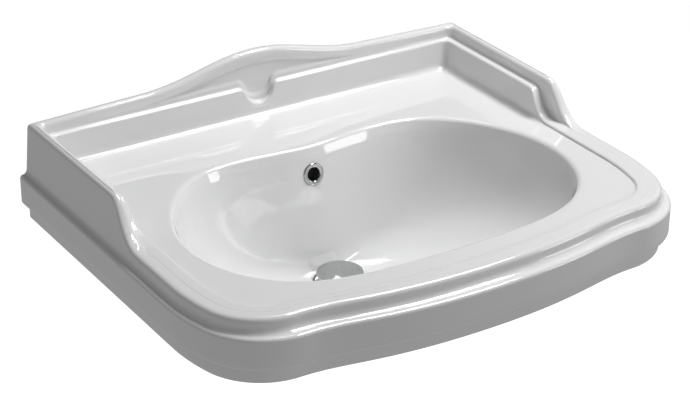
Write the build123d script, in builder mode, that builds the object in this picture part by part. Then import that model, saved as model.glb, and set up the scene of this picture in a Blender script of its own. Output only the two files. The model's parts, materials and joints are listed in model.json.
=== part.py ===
"""Traditional glazed washbasin with splashback, waste, overflow ring and wall fixings.

Millimetres. +X right as seen from the front, +Y into the wall, +Z up. The wall plane is y = 0 and the
origin lies in it, midway between the two wall fixings, level with the lower edge of the rim's band.
"""
from build123d import *
from math import cos, pi, radians, sin, tan
import os

os.makedirs("parts", exist_ok=True)

# ---- overall sizes of the ceramic ------------------------------------------------------------------
WIDTH = 680.0                # across the band
DEPTH = 551.0                # wall to the middle of the bow front
CREST_Z = 140.0              # top of the splashback's raised middle
WING_Z = 108.5               # top of the wings and of the splashback's ends
DECK_Z = 54.0                # flat deck around the bowl
RIM_Z = 58.5                 # raised border round the deck
BAND_Z = 40.0                # top of the band's upright face
LIP_Z = -23.0                # lower edge of the apron
WALL = 12.0                  # thickness of the casting

# ---- plan of the rim: side insets, front insets and corner radii of its nested outlines ------------
BAND_IN, BAND_R = (0.0, 0.0), 97.0
RIM_IN, RIM_R = (9.4, 15.4), 81.6      # foot of the wall above the band
LIP_IN, LIP_R = (9.7, 12.0), 86.0      # lip under the band
INNER_IN, INNER_R = (43.5, 46.0), 51.0  # inner edge of the raised border, at the deck
BOW = 25.0                   # how far the front bows out past its corners
SIDE_R, SIDE_TURN = 263.0, 15.0
COVE_R = 6.0                 # hollow moulding between band and rim
EDGE_R = 4.0                 # rounding of the glazed outer edges

# ---- splashback and wings --------------------------------------------------------------------------
SPLASH_T = 13.0              # upper wall of the splashback
WING_IN = 27.0               # inner face of each wing, in from the band
DECK_BACK_Y = 25.0           # foot of the splashback's lower face, out from the wall
LEDGE_Z = 92.5               # top of the ledge
DRAFT = 5.0                  # lean of the outer faces, degrees
INNER_LEAN = 7.0             # lean of the faces between deck and ledge, degrees
WING_END_Y, WING_FALL = 230.0, 70.0     # where the wing starts to fall, and how far it takes
LEDGE_END_Y, LEDGE_FALL = 212.0, 44.0    # the same for the ledge inside it
CREST_HALF = 172.0           # half width of the raised middle
CREST_FOOT = 4.2             # height of its foot above the wings
NOTCH_W, NOTCH_DEPTH = 62.0, 24.0    # trough in the middle of the ledge
NOTCH_TURN = 0.52            # share of the trough's side that its hollow foot takes
PANEL_DEPTH = 3.5            # sunk panel in the raised middle
PANEL_EDGE = 12.0            # band between the crest's edge and the panel
PANEL_FOOT = 8.5             # height of the panel's lower edge over the ledge
NOSE_R = 2.5                 # rounding of the ledge and of the raised border
LEDGE_CORNER_R, DECK_CORNER_R = 7.0, 12.0
DECK_FOOT_R = 6.0

# ---- bowl: height, half width, back edge and front edge of each level ------------------------------
BOWL_LEVELS = (
    (DECK_Z + 2, 263.5, 138.5, 468.5),
    (20.0, 256.0, 148.5, 459.0),
    (-17.0, 239.0, 156.5, 437.0),
    (-51.0, 208.0, 163.5, 402.0),
    (-78.0, 163.0, 170.0, 356.0),
    (-96.0, 112.0, 176.0, 306.0),
    (-106.0, 66.0, 182.0, 268.0),
)
BOWL_DIP = 0.028             # forward swell of the back edge, as a share of the half width
BOWL_SHELL = (10.0, 11.0)    # growth of the shell outside the bowl: sideways and downwards
BOWL_EDGE_R = 6.0

# ---- waste -----------------------------------------------------------------------------------------
DRAIN_Y = 221.0
SEAT_Z = -111.5              # floor of the recess that the waste flange sits in
SEAT_CLEAR = 1.5
FLANGE_R, FLANGE_T = 33.5, 3.0
FLANGE_SEAL_T = 1.5
THROAT_R, FUNNEL_H = 20.0, 11.0
TAIL_R = 20.95               # G 1 1/4 thread of the free end
SHANK_R = TAIL_R - 0.25      # shank above it, under the nut, the washer and the seals
TAIL_BORE_R = TAIL_R - 3.45
BOSS_R, BOSS_H = 36.0, 46.0  # ceramic boss round the drain, below the seat
DRAIN_CLEAR = 2.2            # radial room between tail and ceramic
WINDOW_H, WINDOW_W = 14.0, 16.0
SPIDER_T, SPIDER_W, HUB_R = 8.0, 5.0, 9.5
LOWER_SEAL_T, LOWER_SEAL_R = 6.0, 32.0
SLIP_WASHER_T, SLIP_WASHER_R = 2.0, 31.0
BACKNUT_T, BACKNUT_FLATS = 12.0, 56.0
TAIL_BELOW_NUT = 28.0

# ---- plug and its click cartridge ------------------------------------------------------------------
CAP_R, CAP_EDGE_T, CAP_DOME = 31.3, 4.0, 2.5
CAP_LIFT = 8.5               # travel between raised and closed
CAP_SHUT_GAP = 0.4           # left between cap and flange when it is closed
CAP_BOSS_R, CAP_BOSS_H = 8.0, 5.0
CAP_SEAL_R, CAP_SEAL_T, CAP_SEAL_W = 19.0, 2.5, 5.0
LOCKNUT_FLATS, LOCKNUT_T = 13.0, 3.0
ROD_R = 4.0
CARTRIDGE_R, CARTRIDGE_BORE_R = 7.0, 5.2
COLLAR_R, COLLAR_T = 9.0, 2.5
COLLAR_DROP = 5.5            # from the cartridge's top to its collar
GLAND_T = 5.0
PISTON_H = 16.0
SPRING_H, SPRING_R, SPRING_WIRE_R, SPRING_COILS = 20.4, 3.9, 0.55, 8
LATCH_R, LATCH_SLOT = 0.7, 1.1
SLIDE_CLEAR = 0.08

# ---- overflow --------------------------------------------------------------------------------------
OVERFLOW_Y, OVERFLOW_Z = 155.2, 18.3
OVERFLOW_TILT = 14.0         # lean of the bowl's back wall at the overflow, degrees
RING_R, RING_BORE_R, RING_T = 14.5, 9.0, 2.2
SLEEVE_R, SLEEVE_LEN = 10.2, 9.0
OVERFLOW_HOLE_R = 10.8
SPOT_DEPTH, GASKET_T = 1.0, 1.0
DUCT_W, DUCT_T, DUCT_WALL = 34.0, 14.0, 8.0

# ---- wall fixings ----------------------------------------------------------------------------------
FIXING_SPACING = 280.0
STUD_R, STUD_IN = 5.0, 60.0    # M10 end, in the wall
BOLT_R, BOLT_OUT = 4.8, 44.0   # end that carries the washers and the nut
FIXING_HOLE_R = 8.0
BACK_T, BACK_HALF, BACK_Z = 16.0, 190.0, -70.0
SHOULDER_R, SHOULDER_T, SHOULDER_SLEEVE_R = 16.0, 4.0, 7.8
STEEL_WASHER_R, STEEL_WASHER_T = 12.0, 2.0
NUT_FLATS, NUT_T = 17.0, 8.0
FIT = 0.1                    # radial room of a part that slides over its stud or tail

HALF = WIDTH / 2
ROOF = CREST_Z + 4 * WALL    # above everything
FLANGE_TOP_Z = SEAT_Z + FLANGE_SEAL_T + FLANGE_T
CAP_UNDER_Z = FLANGE_TOP_Z + CAP_SHUT_GAP + CAP_LIFT
CAP_BOSS_Z = CAP_UNDER_Z - CAP_BOSS_H
LOCKNUT_Z = CAP_BOSS_Z - LOCKNUT_T
CARTRIDGE_TOP_Z = LOCKNUT_Z - CAP_LIFT - 0.5
HUB_TOP_Z = CARTRIDGE_TOP_Z - COLLAR_DROP - COLLAR_T
HUB_Z = HUB_TOP_Z - SPIDER_T
WINDOW_Z = HUB_Z - 2 - WINDOW_H / 2
PISTON_TOP_Z = CARTRIDGE_TOP_Z - GLAND_T - 0.1
PISTON_Z = PISTON_TOP_Z - PISTON_H
SPRING_Z = PISTON_Z - SPRING_H
BOSS_Z = SEAT_Z - BOSS_H
SLIP_Z = BOSS_Z - LOWER_SEAL_T
NUT_TOP_Z = SLIP_Z - SLIP_WASHER_T
NUT_END_Z = NUT_TOP_Z - BACKNUT_T
TAIL_END_Z = NUT_END_Z - TAIL_BELOW_NUT
DRAIN_PLANE = Plane((0, -DRAIN_Y, 0))
RADIAL_PLANE = Plane((0, -DRAIN_Y, 0), x_dir=(1, 0, 0), z_dir=(0, -1, 0))
TILT = radians(OVERFLOW_TILT)
OVERFLOW_PLANE = Plane((0, -OVERFLOW_Y, OVERFLOW_Z), x_dir=(1, 0, 0), z_dir=(0, -cos(TILT), sin(TILT)))


def outline(inset, corner_r, back_y):
    """Right half of a plan outline, from the wall round to the middle of the front."""
    half, front = HALF - inset[0], DEPTH - inset[1]
    turn = radians(SIDE_TURN)
    start_x = half - SIDE_R * (1 - cos(turn))
    start_y = -(front - BOW) + corner_r * (1 - sin(turn))
    side_y = start_y + SIDE_R * sin(turn)
    centre_x, centre_y = start_x - corner_r * cos(turn), start_y + corner_r * sin(turn)
    Line((half, back_y), (half, side_y))
    ThreePointArc((half, side_y),
                  (half - SIDE_R * (1 - cos(turn / 2)), side_y - SIDE_R * sin(turn / 2)),
                  (start_x, start_y))
    ThreePointArc((start_x, start_y),
                  (centre_x + corner_r * cos(pi / 4), centre_y - corner_r * sin(pi / 4)),
                  (centre_x, -(front - BOW)))
    bow_y = -(front - BOW)
    Bezier((centre_x, bow_y), (0.75 * centre_x, bow_y), (0.59 * centre_x, -front), (0, -front))


def plan_face(inset, corner_r, height, back_y=0.0):
    """Flat face of a plan outline at one height, closed along its back edge."""
    with BuildSketch(Plane.XY.offset(height)) as plan:
        with BuildLine():
            outline(inset, corner_r, back_y)
            mirror(about=Plane.YZ)
            Line((HALF - inset[0], back_y), (inset[0] - HALF, back_y))
        make_face()
    return plan.sketch


def plan_block(inset, corner_r, low, high, lean=0.0, back_y=0.0):
    """Solid of a plan outline between two heights; a positive lean draws its sides in towards the top."""
    shift = (high - low) * tan(radians(lean))
    top_back = back_y - shift if back_y else 0.0
    with BuildPart() as block:
        add(plan_face(inset, corner_r, low, back_y))
        add(plan_face((inset[0] + shift, inset[1] + shift), corner_r - shift, high, top_back))
        loft(ruled=True)
    return block.part


def ogee_cutter(top_z, end_y, fall, half_width):
    """Solid above a side profile that runs level from the wall and falls to the rim in an ogee."""
    foot_y = -(end_y + fall)
    with BuildPart() as cutter:
        with BuildSketch(Plane.YZ.offset(-half_width)):
            with BuildLine():
                Line((-SPLASH_T, top_z), (-end_y, top_z))
                Bezier((-end_y, top_z), (-end_y - 0.3 * fall, top_z), (foot_y + 0.62 * fall, RIM_Z),
                       (foot_y, RIM_Z))
                Polyline((foot_y, RIM_Z), (-DEPTH * 1.2, RIM_Z), (-DEPTH * 1.2, ROOF), (-SPLASH_T, ROOF),
                         (-SPLASH_T, top_z))
            make_face()
        extrude(amount=2 * half_width)
    return cutter.part


def crest_edge(drop=0.0):
    """Right half of the splashback's top line, lowered by a drop, down to the wing's inner face."""
    top, foot = CREST_Z - drop, WING_Z + CREST_FOOT - drop
    Bezier((0, top), (0.36 * CREST_HALF, top), (0.58 * CREST_HALF, foot + 0.8), (CREST_HALF, foot))
    Line((CREST_HALF, foot), (HALF - WING_IN, WING_Z - drop))


def crest_cutter():
    """Solid above the splashback's top line, through its whole thickness."""
    inner = HALF - WING_IN
    with BuildPart() as cutter:
        with BuildSketch(Plane.XZ.offset(-WALL)):
            with BuildLine():
                crest_edge()
                Polyline((inner, WING_Z), (HALF, WING_Z), (HALF, ROOF), (0, ROOF), (0, CREST_Z))
            make_face()
            mirror(about=Plane.YZ)
        extrude(amount=SPLASH_T + 2 * WALL)
    return cutter.part


def ledge_cutter():
    """Room above the ledge, between the wings, with the corners that it leaves in the ceramic."""
    with BuildPart() as cutter:
        add(ogee_cutter(LEDGE_Z, LEDGE_END_Y, LEDGE_FALL, HALF - WING_IN))
        fillet(cutter.edges().filter_by(Axis.Z).group_by(Axis.Y)[-1], LEDGE_CORNER_R)
        floor = [edge for edge in cutter.edges() if edge.bounding_box().max.Z < LEDGE_Z + 0.1]
        across = [edge for edge in floor if edge.length > WIDTH / 2 and abs(edge.tangent_at(0.5).X) > 0.9]
        fillet([edge for edge in floor if edge not in across[:-1] and (edge @ 0.5).Y > -DEPTH], 2.0)
    return cutter.part


def deck_cutter():
    """Room above the deck, inside the raised border, the ledge and the wings."""
    with BuildPart() as cutter:
        add(plan_block(INNER_IN, INNER_R, DECK_Z, CREST_Z, -INNER_LEAN, -DECK_BACK_Y))
        uprights = ShapeList(edge for edge in cutter.edges() if edge.bounding_box().size.Z > WALL)
        fillet(uprights.group_by(Axis.Y)[-1], DECK_CORNER_R)
        fillet(cutter.faces().sort_by(Axis.Z)[0].edges(), DECK_FOOT_R)
    return cutter.part


def bowl_ring(height, half, back, front):
    """Closed kidney-shaped face of one bowl level; its back edge swells forward in the middle."""
    depth = front - back
    middle = -(back + 2 * half * BOWL_DIP / 2)
    with BuildSketch(Plane.XY.offset(height)) as ring:
        with BuildLine():
            Spline((0, middle), (0.33 * half, -back - 0.002 * depth), (0.61 * half, -back - 0.022 * depth),
                   (0.89 * half, -back - 0.225 * depth), (half, -back - 0.515 * depth),
                   (0.925 * half, -back - 0.755 * depth), (0.727 * half, -back - 0.915 * depth),
                   (0.37 * half, -back - 0.988 * depth), (0, -front),
                   tangents=((1, 0), (-1, 0)))
            mirror(about=Plane.YZ)
        make_face()
    return ring.sketch


def bowl_loft(grow=0.0, drop=0.0):
    """Smooth solid through the bowl's levels, grown sideways and lowered for the shell outside it."""
    with BuildPart() as bowl:
        for height, half, back, front in BOWL_LEVELS:
            add(bowl_ring(height - drop, half + grow, back - grow, front + grow))
        loft()
    return bowl.part


def outer_top_edges(edges):
    """Top edges of rim and wings along the outside, without the level lines across the middle."""
    chosen = []
    for edge in edges:
        middle = edge @ 0.5
        level = edge.length > WIDTH / 2 + WING_IN and abs(edge.tangent_at(0.5).X) > 0.99
        across = level and middle.Y > -DEPTH / 1.3
        if edge.bounding_box().min.Z > RIM_Z - 0.1 and middle.Y < -1 and not across:
            if abs(middle.X) > HALF - WING_IN + 1 or middle.Y < -WING_END_Y - WING_FALL - 1:
                chosen.append(edge)
    return chosen


def nose_edges(edges, ledge, deck):
    """Inner edges of the ledge and of the raised border, where they meet the deck's walls."""
    noses = []
    for edge in edges:
        middle = edge @ 0.5
        if middle.Z < RIM_Z - 0.3 or deck.distance_to(middle) > 0.05:
            continue
        on_border = middle.Y < -LEDGE_END_Y - LEDGE_FALL / 2 and middle.Z < RIM_Z + 0.1
        if on_border or ledge.distance_to(middle) < 0.05:
            noses.append(edge)
    return noses


def rim_body():
    """Rim, wings and splashback above the band, with their mouldings."""
    ledge = ledge_cutter()
    deck = deck_cutter()
    with BuildPart() as body:
        add(plan_block(RIM_IN, RIM_R, BAND_Z - 2, ROOF, DRAFT))
        add(crest_cutter(), mode=Mode.SUBTRACT)
        add(ogee_cutter(WING_Z, WING_END_Y, WING_FALL, HALF), mode=Mode.SUBTRACT)
        fillet(outer_top_edges(body.edges()), EDGE_R)
        add(ledge, mode=Mode.SUBTRACT)
        add(deck, mode=Mode.SUBTRACT)
        fillet(nose_edges(body.edges(), ledge, deck), NOSE_R)
    return body.part


def notch_cutter():
    """Trough across the ledge, round at its foot, with flared shoulders."""
    foot, half = LEDGE_Z - NOTCH_DEPTH, NOTCH_W / 2
    turn = (NOTCH_TURN * half, foot + NOTCH_TURN * NOTCH_DEPTH)
    with BuildPart() as cutter:
        with BuildSketch(Plane.XZ.offset(SPLASH_T)):
            with BuildLine():
                Line((0, foot), (0, LEDGE_Z + WALL))
                Polyline((0, LEDGE_Z + WALL), (half, LEDGE_Z + WALL), (half, LEDGE_Z))
                TangentArc((half, LEDGE_Z), turn, tangent=(-1, 0))
                TangentArc((0, foot), turn, tangent=(1, 0))
            make_face()
            mirror(about=Plane.YZ)
        extrude(amount=DECK_BACK_Y - SPLASH_T)
    return cutter.part


def panel_cutter():
    """Sunk panel in the raised middle of the splashback, following its top line."""
    low = LEDGE_Z + PANEL_FOOT
    with BuildPart() as cutter:
        with BuildSketch(Plane.XZ.offset(SPLASH_T - PANEL_DEPTH)):
            with BuildLine():
                crest_edge(PANEL_EDGE)
                Polyline((HALF - WING_IN, WING_Z - PANEL_EDGE), (HALF - WING_IN, low - 2 * WALL),
                         (0, low - 2 * WALL), (0, CREST_Z - PANEL_EDGE))
            make_face()
            mirror(about=Plane.YZ)
            with Locations((0, low - WALL)):
                Rectangle(WIDTH, 2 * WALL, mode=Mode.SUBTRACT)
        extrude(amount=PANEL_DEPTH + WALL)
    return cutter.part


def duct(width, depth, top_z):
    """Channel down the back of the bowl, from behind the overflow to the drain hole."""
    start = (0, -OVERFLOW_Y + DUCT_T + 3, DECK_Z - WALL - 4)
    route = [start,
             (0, -OVERFLOW_Y + 8, -17),
             (0, -OVERFLOW_Y - 3, 0.62 * SEAT_Z),
             (0, -OVERFLOW_Y - 17, SEAT_Z),
             (0, -DRAIN_Y + TAIL_R, WINDOW_Z)]
    with BuildPart() as channel:
        with BuildLine():
            path = Spline(*route)
        with BuildSketch(Plane(start, x_dir=(1, 0, 0), z_dir=path % 0)):
            Rectangle(width, depth)
        sweep(path=path)
        split(bisect_by=Plane.XY.offset(top_z), keep=Keep.BOTTOM)
    return channel.part


def band_block():
    """Band round the rim, with its softened upper and lower edges."""
    with BuildPart() as band:
        add(plan_block(BAND_IN, BAND_R, 0, BAND_Z))
        fillet([edge for edge in band.faces().sort_by(Axis.Z)[-1].edges() if (edge @ 0.5).Y < -1], 2.0)
        fillet([edge for edge in band.faces().sort_by(Axis.Z)[0].edges() if (edge @ 0.5).Y < -1], 1.5)
    return band.part


def lip_block():
    """Lip under the band, down to the open underside."""
    with BuildPart() as lip:
        add(plan_block(LIP_IN, LIP_R, LIP_Z, 1))
        fillet([edge for edge in lip.faces().sort_by(Axis.Z)[0].edges() if (edge @ 0.5).Y < -1], EDGE_R)
    return lip.part


def edges_touching(edges, height, shape):
    """Edges at one height that lie on a shape, away from the wall."""
    level = edges.filter_by_position(Axis.Z, height - 0.01, height + 0.01)
    return [edge for edge in level if (edge @ 0.5).Y < -1 and shape.distance_to(edge @ 0.5) < 0.05]


def underside_hollow():
    """Open room under the deck, inside the apron and in front of the back plate."""
    inset = (LIP_IN[0] + WALL, LIP_IN[1] + WALL)
    return plan_block(inset, LIP_R - WALL, LIP_Z - 1, DECK_Z - WALL, back_y=-BACK_T)


def round_bar(plane, radius, low, high):
    """Solid cylinder along a plane's normal."""
    with BuildPart() as bar:
        with BuildSketch(plane.offset(low)):
            Circle(radius)
        extrude(amount=high - low)
    return bar.part


def ring_bar(plane, outer_r, inner_r, low, high):
    """Plain ring along a plane's normal."""
    with BuildPart() as ring:
        with BuildSketch(plane.offset(low)):
            Circle(outer_r)
            Circle(inner_r, mode=Mode.SUBTRACT)
        extrude(amount=high - low)
    return ring.part


def hex_nut(plane, flats, bore_r, low, high):
    """Hexagon nut with its corners turned off, along a plane's normal."""
    with BuildPart() as nut:
        with BuildSketch(plane.offset(low)):
            RegularPolygon(flats / 2, 6, major_radius=False)
            Circle(bore_r, mode=Mode.SUBTRACT)
        extrude(amount=high - low)
        with BuildSketch(plane.offset(low)):
            Circle(flats * 0.56)
        extrude(amount=high - low, mode=Mode.INTERSECT)
    return nut.part


def turned(points):
    """Solid turned about the drain's axis from a profile of radius and height."""
    with BuildPart() as body:
        with BuildSketch(RADIAL_PLANE):
            with BuildLine():
                Polyline(*points, close=True)
            make_face()
        revolve(axis=Axis((0, -DRAIN_Y, 0), (0, 0, 1)))
    return body.part


def fixing_planes():
    """Planes of the two wall fixings, looking out of the wall."""
    across = (-FIXING_SPACING / 2, FIXING_SPACING / 2)
    return [Plane((x, 0, 0), x_dir=(1, 0, 0), z_dir=(0, -1, 0)) for x in across]


# ---- basin -----------------------------------------------------------------------------------------
bowl_room = bowl_loft()
with BuildPart() as basin:
    add(rim_body())
    add(band_block())
    add(lip_block())
    rim_foot = plan_block(RIM_IN, RIM_R, BAND_Z - 2, BAND_Z + 2, DRAFT)
    fillet(edges_touching(basin.edges(), BAND_Z, rim_foot), COVE_R)
    add(underside_hollow(), mode=Mode.SUBTRACT)
    add(notch_cutter(), mode=Mode.SUBTRACT)
    add(panel_cutter(), mode=Mode.SUBTRACT)
    add(bowl_loft(*BOWL_SHELL))
    add(duct(DUCT_W + 2 * DUCT_WALL, DUCT_T + 2 * DUCT_WALL, ROOF))
    add(round_bar(DRAIN_PLANE, BOSS_R, BOSS_Z, SEAT_Z + 4))
    with BuildSketch(Plane.XZ):
        with Locations((0, (BACK_Z + DECK_Z - WALL) / 2)):
            RectangleRounded(2 * BACK_HALF, DECK_Z - WALL - BACK_Z, BACK_T)
    extrude(amount=BACK_T)
    add(bowl_room, mode=Mode.SUBTRACT)
    fillet(edges_touching(basin.edges(), DECK_Z, bowl_room), BOWL_EDGE_R)
    add(duct(DUCT_W, DUCT_T, DECK_Z - WALL - DUCT_WALL - 4), mode=Mode.SUBTRACT)
    add(round_bar(DRAIN_PLANE, FLANGE_R + SEAT_CLEAR, SEAT_Z, 0), mode=Mode.SUBTRACT)
    add(round_bar(DRAIN_PLANE, TAIL_R + DRAIN_CLEAR, BOSS_Z - 1, 0), mode=Mode.SUBTRACT)
    add(round_bar(OVERFLOW_PLANE, OVERFLOW_HOLE_R, -DUCT_T - 3, WALL), mode=Mode.SUBTRACT)
    add(round_bar(OVERFLOW_PLANE, RING_R + 0.6, -SPOT_DEPTH, WALL), mode=Mode.SUBTRACT)
    with BuildSketch(Plane.XZ):
        with GridLocations(FIXING_SPACING, 1, 2, 1):
            Circle(FIXING_HOLE_R)
    extrude(amount=BACK_T, mode=Mode.SUBTRACT)
basin.part.label = "basin"
export_step(basin.part, "parts/basin.step")


# ---- overflow ring and its gasket ------------------------------------------------------------------
RING_BACK = GASKET_T - SPOT_DEPTH
with BuildPart() as overflow_ring:
    add(ring_bar(OVERFLOW_PLANE, RING_R, RING_BORE_R, RING_BACK, RING_BACK + RING_T))
    outer_face = overflow_ring.faces().sort_by(Axis((0, 0, 0), OVERFLOW_PLANE.z_dir))[-1]
    fillet(outer_face.edges(), RING_T / 3)
    add(ring_bar(OVERFLOW_PLANE, SLEEVE_R, RING_BORE_R, RING_BACK - SLEEVE_LEN, RING_BACK))
overflow_ring.part.label = "overflow_ring"
export_step(overflow_ring.part, "parts/overflow_ring.step")

with BuildPart() as overflow_gasket:
    add(ring_bar(OVERFLOW_PLANE, RING_R - 0.5, SLEEVE_R + FIT, -SPOT_DEPTH, RING_BACK))
overflow_gasket.part.label = "overflow_gasket"
export_step(overflow_gasket.part, "parts/overflow_gasket.step")


# ---- waste body, its seals, washer and nut ---------------------------------------------------------
FLANGE_Z = SEAT_Z + FLANGE_SEAL_T
with BuildPart() as waste_body:
    add(turned([(TAIL_BORE_R, TAIL_END_Z), (TAIL_R, TAIL_END_Z), (TAIL_R, NUT_END_Z), (SHANK_R, NUT_END_Z),
                (SHANK_R, FLANGE_Z), (FLANGE_R, FLANGE_Z), (FLANGE_R, FLANGE_TOP_Z - 1),
                (FLANGE_R - 1, FLANGE_TOP_Z), (THROAT_R, FLANGE_TOP_Z),
                (TAIL_BORE_R, FLANGE_TOP_Z - FUNNEL_H)]))
    with BuildSketch(DRAIN_PLANE.offset(WINDOW_Z - WINDOW_H / 2)):
        Rectangle(WINDOW_W, 3 * TAIL_R)
        Rectangle(3 * TAIL_R, WINDOW_W)
    extrude(amount=WINDOW_H, mode=Mode.SUBTRACT)
    with BuildSketch(DRAIN_PLANE.offset(HUB_Z)):
        Rectangle(SPIDER_W, 2 * TAIL_BORE_R + 1)
        Rectangle(2 * TAIL_BORE_R + 1, SPIDER_W)
        Circle(HUB_R)
        Circle(CARTRIDGE_R + FIT, mode=Mode.SUBTRACT)
    extrude(amount=SPIDER_T)
waste_body.part.label = "waste_body"
export_step(waste_body.part, "parts/waste_body.step")

with BuildPart() as flange_seal:
    add(ring_bar(DRAIN_PLANE, FLANGE_R - 0.5, SHANK_R + FIT, SEAT_Z, FLANGE_Z))
flange_seal.part.label = "flange_seal"
export_step(flange_seal.part, "parts/flange_seal.step")

with BuildPart() as lower_seal:
    add(turned([(SHANK_R + FIT, SLIP_Z), (LOWER_SEAL_R, SLIP_Z), (LOWER_SEAL_R, BOSS_Z - 1),
                (LOWER_SEAL_R - 1, BOSS_Z), (SHANK_R + FIT, BOSS_Z)]))
lower_seal.part.label = "lower_seal"
export_step(lower_seal.part, "parts/lower_seal.step")

with BuildPart() as slip_washer:
    add(ring_bar(DRAIN_PLANE, SLIP_WASHER_R, SHANK_R + FIT, NUT_TOP_Z, SLIP_Z))
slip_washer.part.label = "slip_washer"
export_step(slip_washer.part, "parts/slip_washer.step")

with BuildPart() as backnut:
    add(hex_nut(DRAIN_PLANE, BACKNUT_FLATS, SHANK_R + FIT / 2, NUT_END_Z, NUT_TOP_Z))
backnut.part.label = "backnut"
export_step(backnut.part, "parts/backnut.step")


# ---- click cartridge, fixed in the waste's cross ---------------------------------------------------
with BuildPart() as cartridge_body:
    floor_z = SPRING_Z - 2
    add(turned([(0, floor_z), (CARTRIDGE_R, floor_z), (CARTRIDGE_R, HUB_TOP_Z), (COLLAR_R, HUB_TOP_Z),
                (COLLAR_R, HUB_TOP_Z + COLLAR_T), (CARTRIDGE_R, HUB_TOP_Z + COLLAR_T),
                (CARTRIDGE_R, CARTRIDGE_TOP_Z), (CARTRIDGE_BORE_R, CARTRIDGE_TOP_Z),
                (CARTRIDGE_BORE_R, SPRING_Z), (0, SPRING_Z)]))
    with BuildSketch(RADIAL_PLANE.offset(0)):
        with Locations((0, PISTON_Z + 2.5)):
            Circle(LATCH_R)
    extrude(amount=CARTRIDGE_R + 1, mode=Mode.SUBTRACT)
cartridge_body.part.label = "cartridge_body"
export_step(cartridge_body.part, "parts/cartridge_body.step")

with BuildPart() as cartridge_gland:
    gland_z = CARTRIDGE_TOP_Z - GLAND_T
    add(ring_bar(DRAIN_PLANE, CARTRIDGE_BORE_R, ROD_R + SLIDE_CLEAR, gland_z, CARTRIDGE_TOP_Z))
cartridge_gland.part.label = "cartridge_gland"
export_step(cartridge_gland.part, "parts/cartridge_gland.step")

with BuildPart() as latch_pin:
    with BuildSketch(RADIAL_PLANE.offset(CARTRIDGE_BORE_R - LATCH_SLOT + 0.3)):
        with Locations((0, PISTON_Z + 2.5)):
            Circle(LATCH_R)
    extrude(amount=CARTRIDGE_R - CARTRIDGE_BORE_R + LATCH_SLOT - 0.3)
latch_pin.part.label = "latch_pin"
export_step(latch_pin.part, "parts/latch_pin.step")

with BuildPart() as cartridge_spring:
    coil_h = SPRING_H - 2 * SPRING_WIRE_R
    with BuildLine():
        coil = Helix(pitch=coil_h / SPRING_COILS, height=coil_h, radius=SPRING_R,
                     center=(0, -DRAIN_Y, SPRING_Z + SPRING_WIRE_R))
    with BuildSketch(Plane(coil @ 0, z_dir=coil % 0)):
        Circle(SPRING_WIRE_R - 0.05)
    sweep(path=coil, is_frenet=True)
cartridge_spring.part.label = "cartridge_spring"
export_step(cartridge_spring.part, "parts/cartridge_spring.step")


# ---- plug: piston, locknut, cap and cap seal -------------------------------------------------------
with BuildPart() as plug_piston:
    head_r = CARTRIDGE_BORE_R - SLIDE_CLEAR
    add(turned([(0, PISTON_Z), (head_r, PISTON_Z), (head_r, PISTON_TOP_Z), (ROD_R, PISTON_TOP_Z),
                (ROD_R, CAP_UNDER_Z), (0, CAP_UNDER_Z)]))
    with BuildSketch(RADIAL_PLANE.offset(CARTRIDGE_BORE_R - LATCH_SLOT)):
        with Locations((0, (PISTON_Z + PISTON_TOP_Z) / 2)):
            Rectangle(3 * LATCH_R, PISTON_H - 2.4)
    extrude(amount=LATCH_SLOT + 1, mode=Mode.SUBTRACT)
plug_piston.part.label = "plug_piston"
export_step(plug_piston.part, "parts/plug_piston.step")

with BuildPart() as plug_locknut:
    add(hex_nut(DRAIN_PLANE, LOCKNUT_FLATS, ROD_R + FIT / 2, LOCKNUT_Z, CAP_BOSS_Z))
plug_locknut.part.label = "plug_locknut"
export_step(plug_locknut.part, "parts/plug_locknut.step")

with BuildPart() as plug_cap:
    rim_z = CAP_UNDER_Z + CAP_EDGE_T
    with BuildSketch(RADIAL_PLANE):
        with BuildLine():
            Polyline((0, CAP_UNDER_Z), (ROD_R + FIT / 2, CAP_UNDER_Z), (ROD_R + FIT / 2, CAP_BOSS_Z),
                     (CAP_BOSS_R, CAP_BOSS_Z), (CAP_BOSS_R, CAP_UNDER_Z), (CAP_R - 0.8, CAP_UNDER_Z),
                     (CAP_R, CAP_UNDER_Z + 0.8), (CAP_R, rim_z - 1))
            Line((CAP_R, rim_z - 1), (CAP_R - 1, rim_z))
            Bezier((CAP_R - 1, rim_z), (0.6 * CAP_R, rim_z + CAP_DOME), (0, rim_z + CAP_DOME))
            Line((0, rim_z + CAP_DOME), (0, CAP_UNDER_Z))
        make_face()
    revolve(axis=Axis((0, -DRAIN_Y, 0), (0, 0, 1)))
plug_cap.part.label = "plug_cap"
export_step(plug_cap.part, "parts/plug_cap.step")

with BuildPart() as cap_seal:
    add(ring_bar(DRAIN_PLANE, CAP_SEAL_R, CAP_SEAL_R - CAP_SEAL_W, CAP_UNDER_Z - CAP_SEAL_T, CAP_UNDER_Z))
    chamfer(cap_seal.faces().sort_by(Axis.Z)[0].edges(), CAP_SEAL_T / 4)
cap_seal.part.label = "cap_seal"
export_step(cap_seal.part, "parts/cap_seal.step")


# ---- wall fixings: a pair of each ------------------------------------------------------------------
SHOULDER_OUT = BACK_T + SHOULDER_T
WASHER_OUT = SHOULDER_OUT + STEEL_WASHER_T
NUT_OUT = WASHER_OUT + NUT_T

with BuildPart() as wall_studs:
    for plane in fixing_planes():
        add(round_bar(plane, STUD_R, -STUD_IN, 0))
        add(round_bar(plane, BOLT_R, 0, BOLT_OUT))
    ends = wall_studs.edges().filter_by(GeomType.CIRCLE).group_by(Axis.Y)
    chamfer(ends[0] + ends[-1], STUD_R / 4)
wall_studs.part.label = "wall_studs"
export_step(wall_studs.part, "parts/wall_studs.step")

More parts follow.
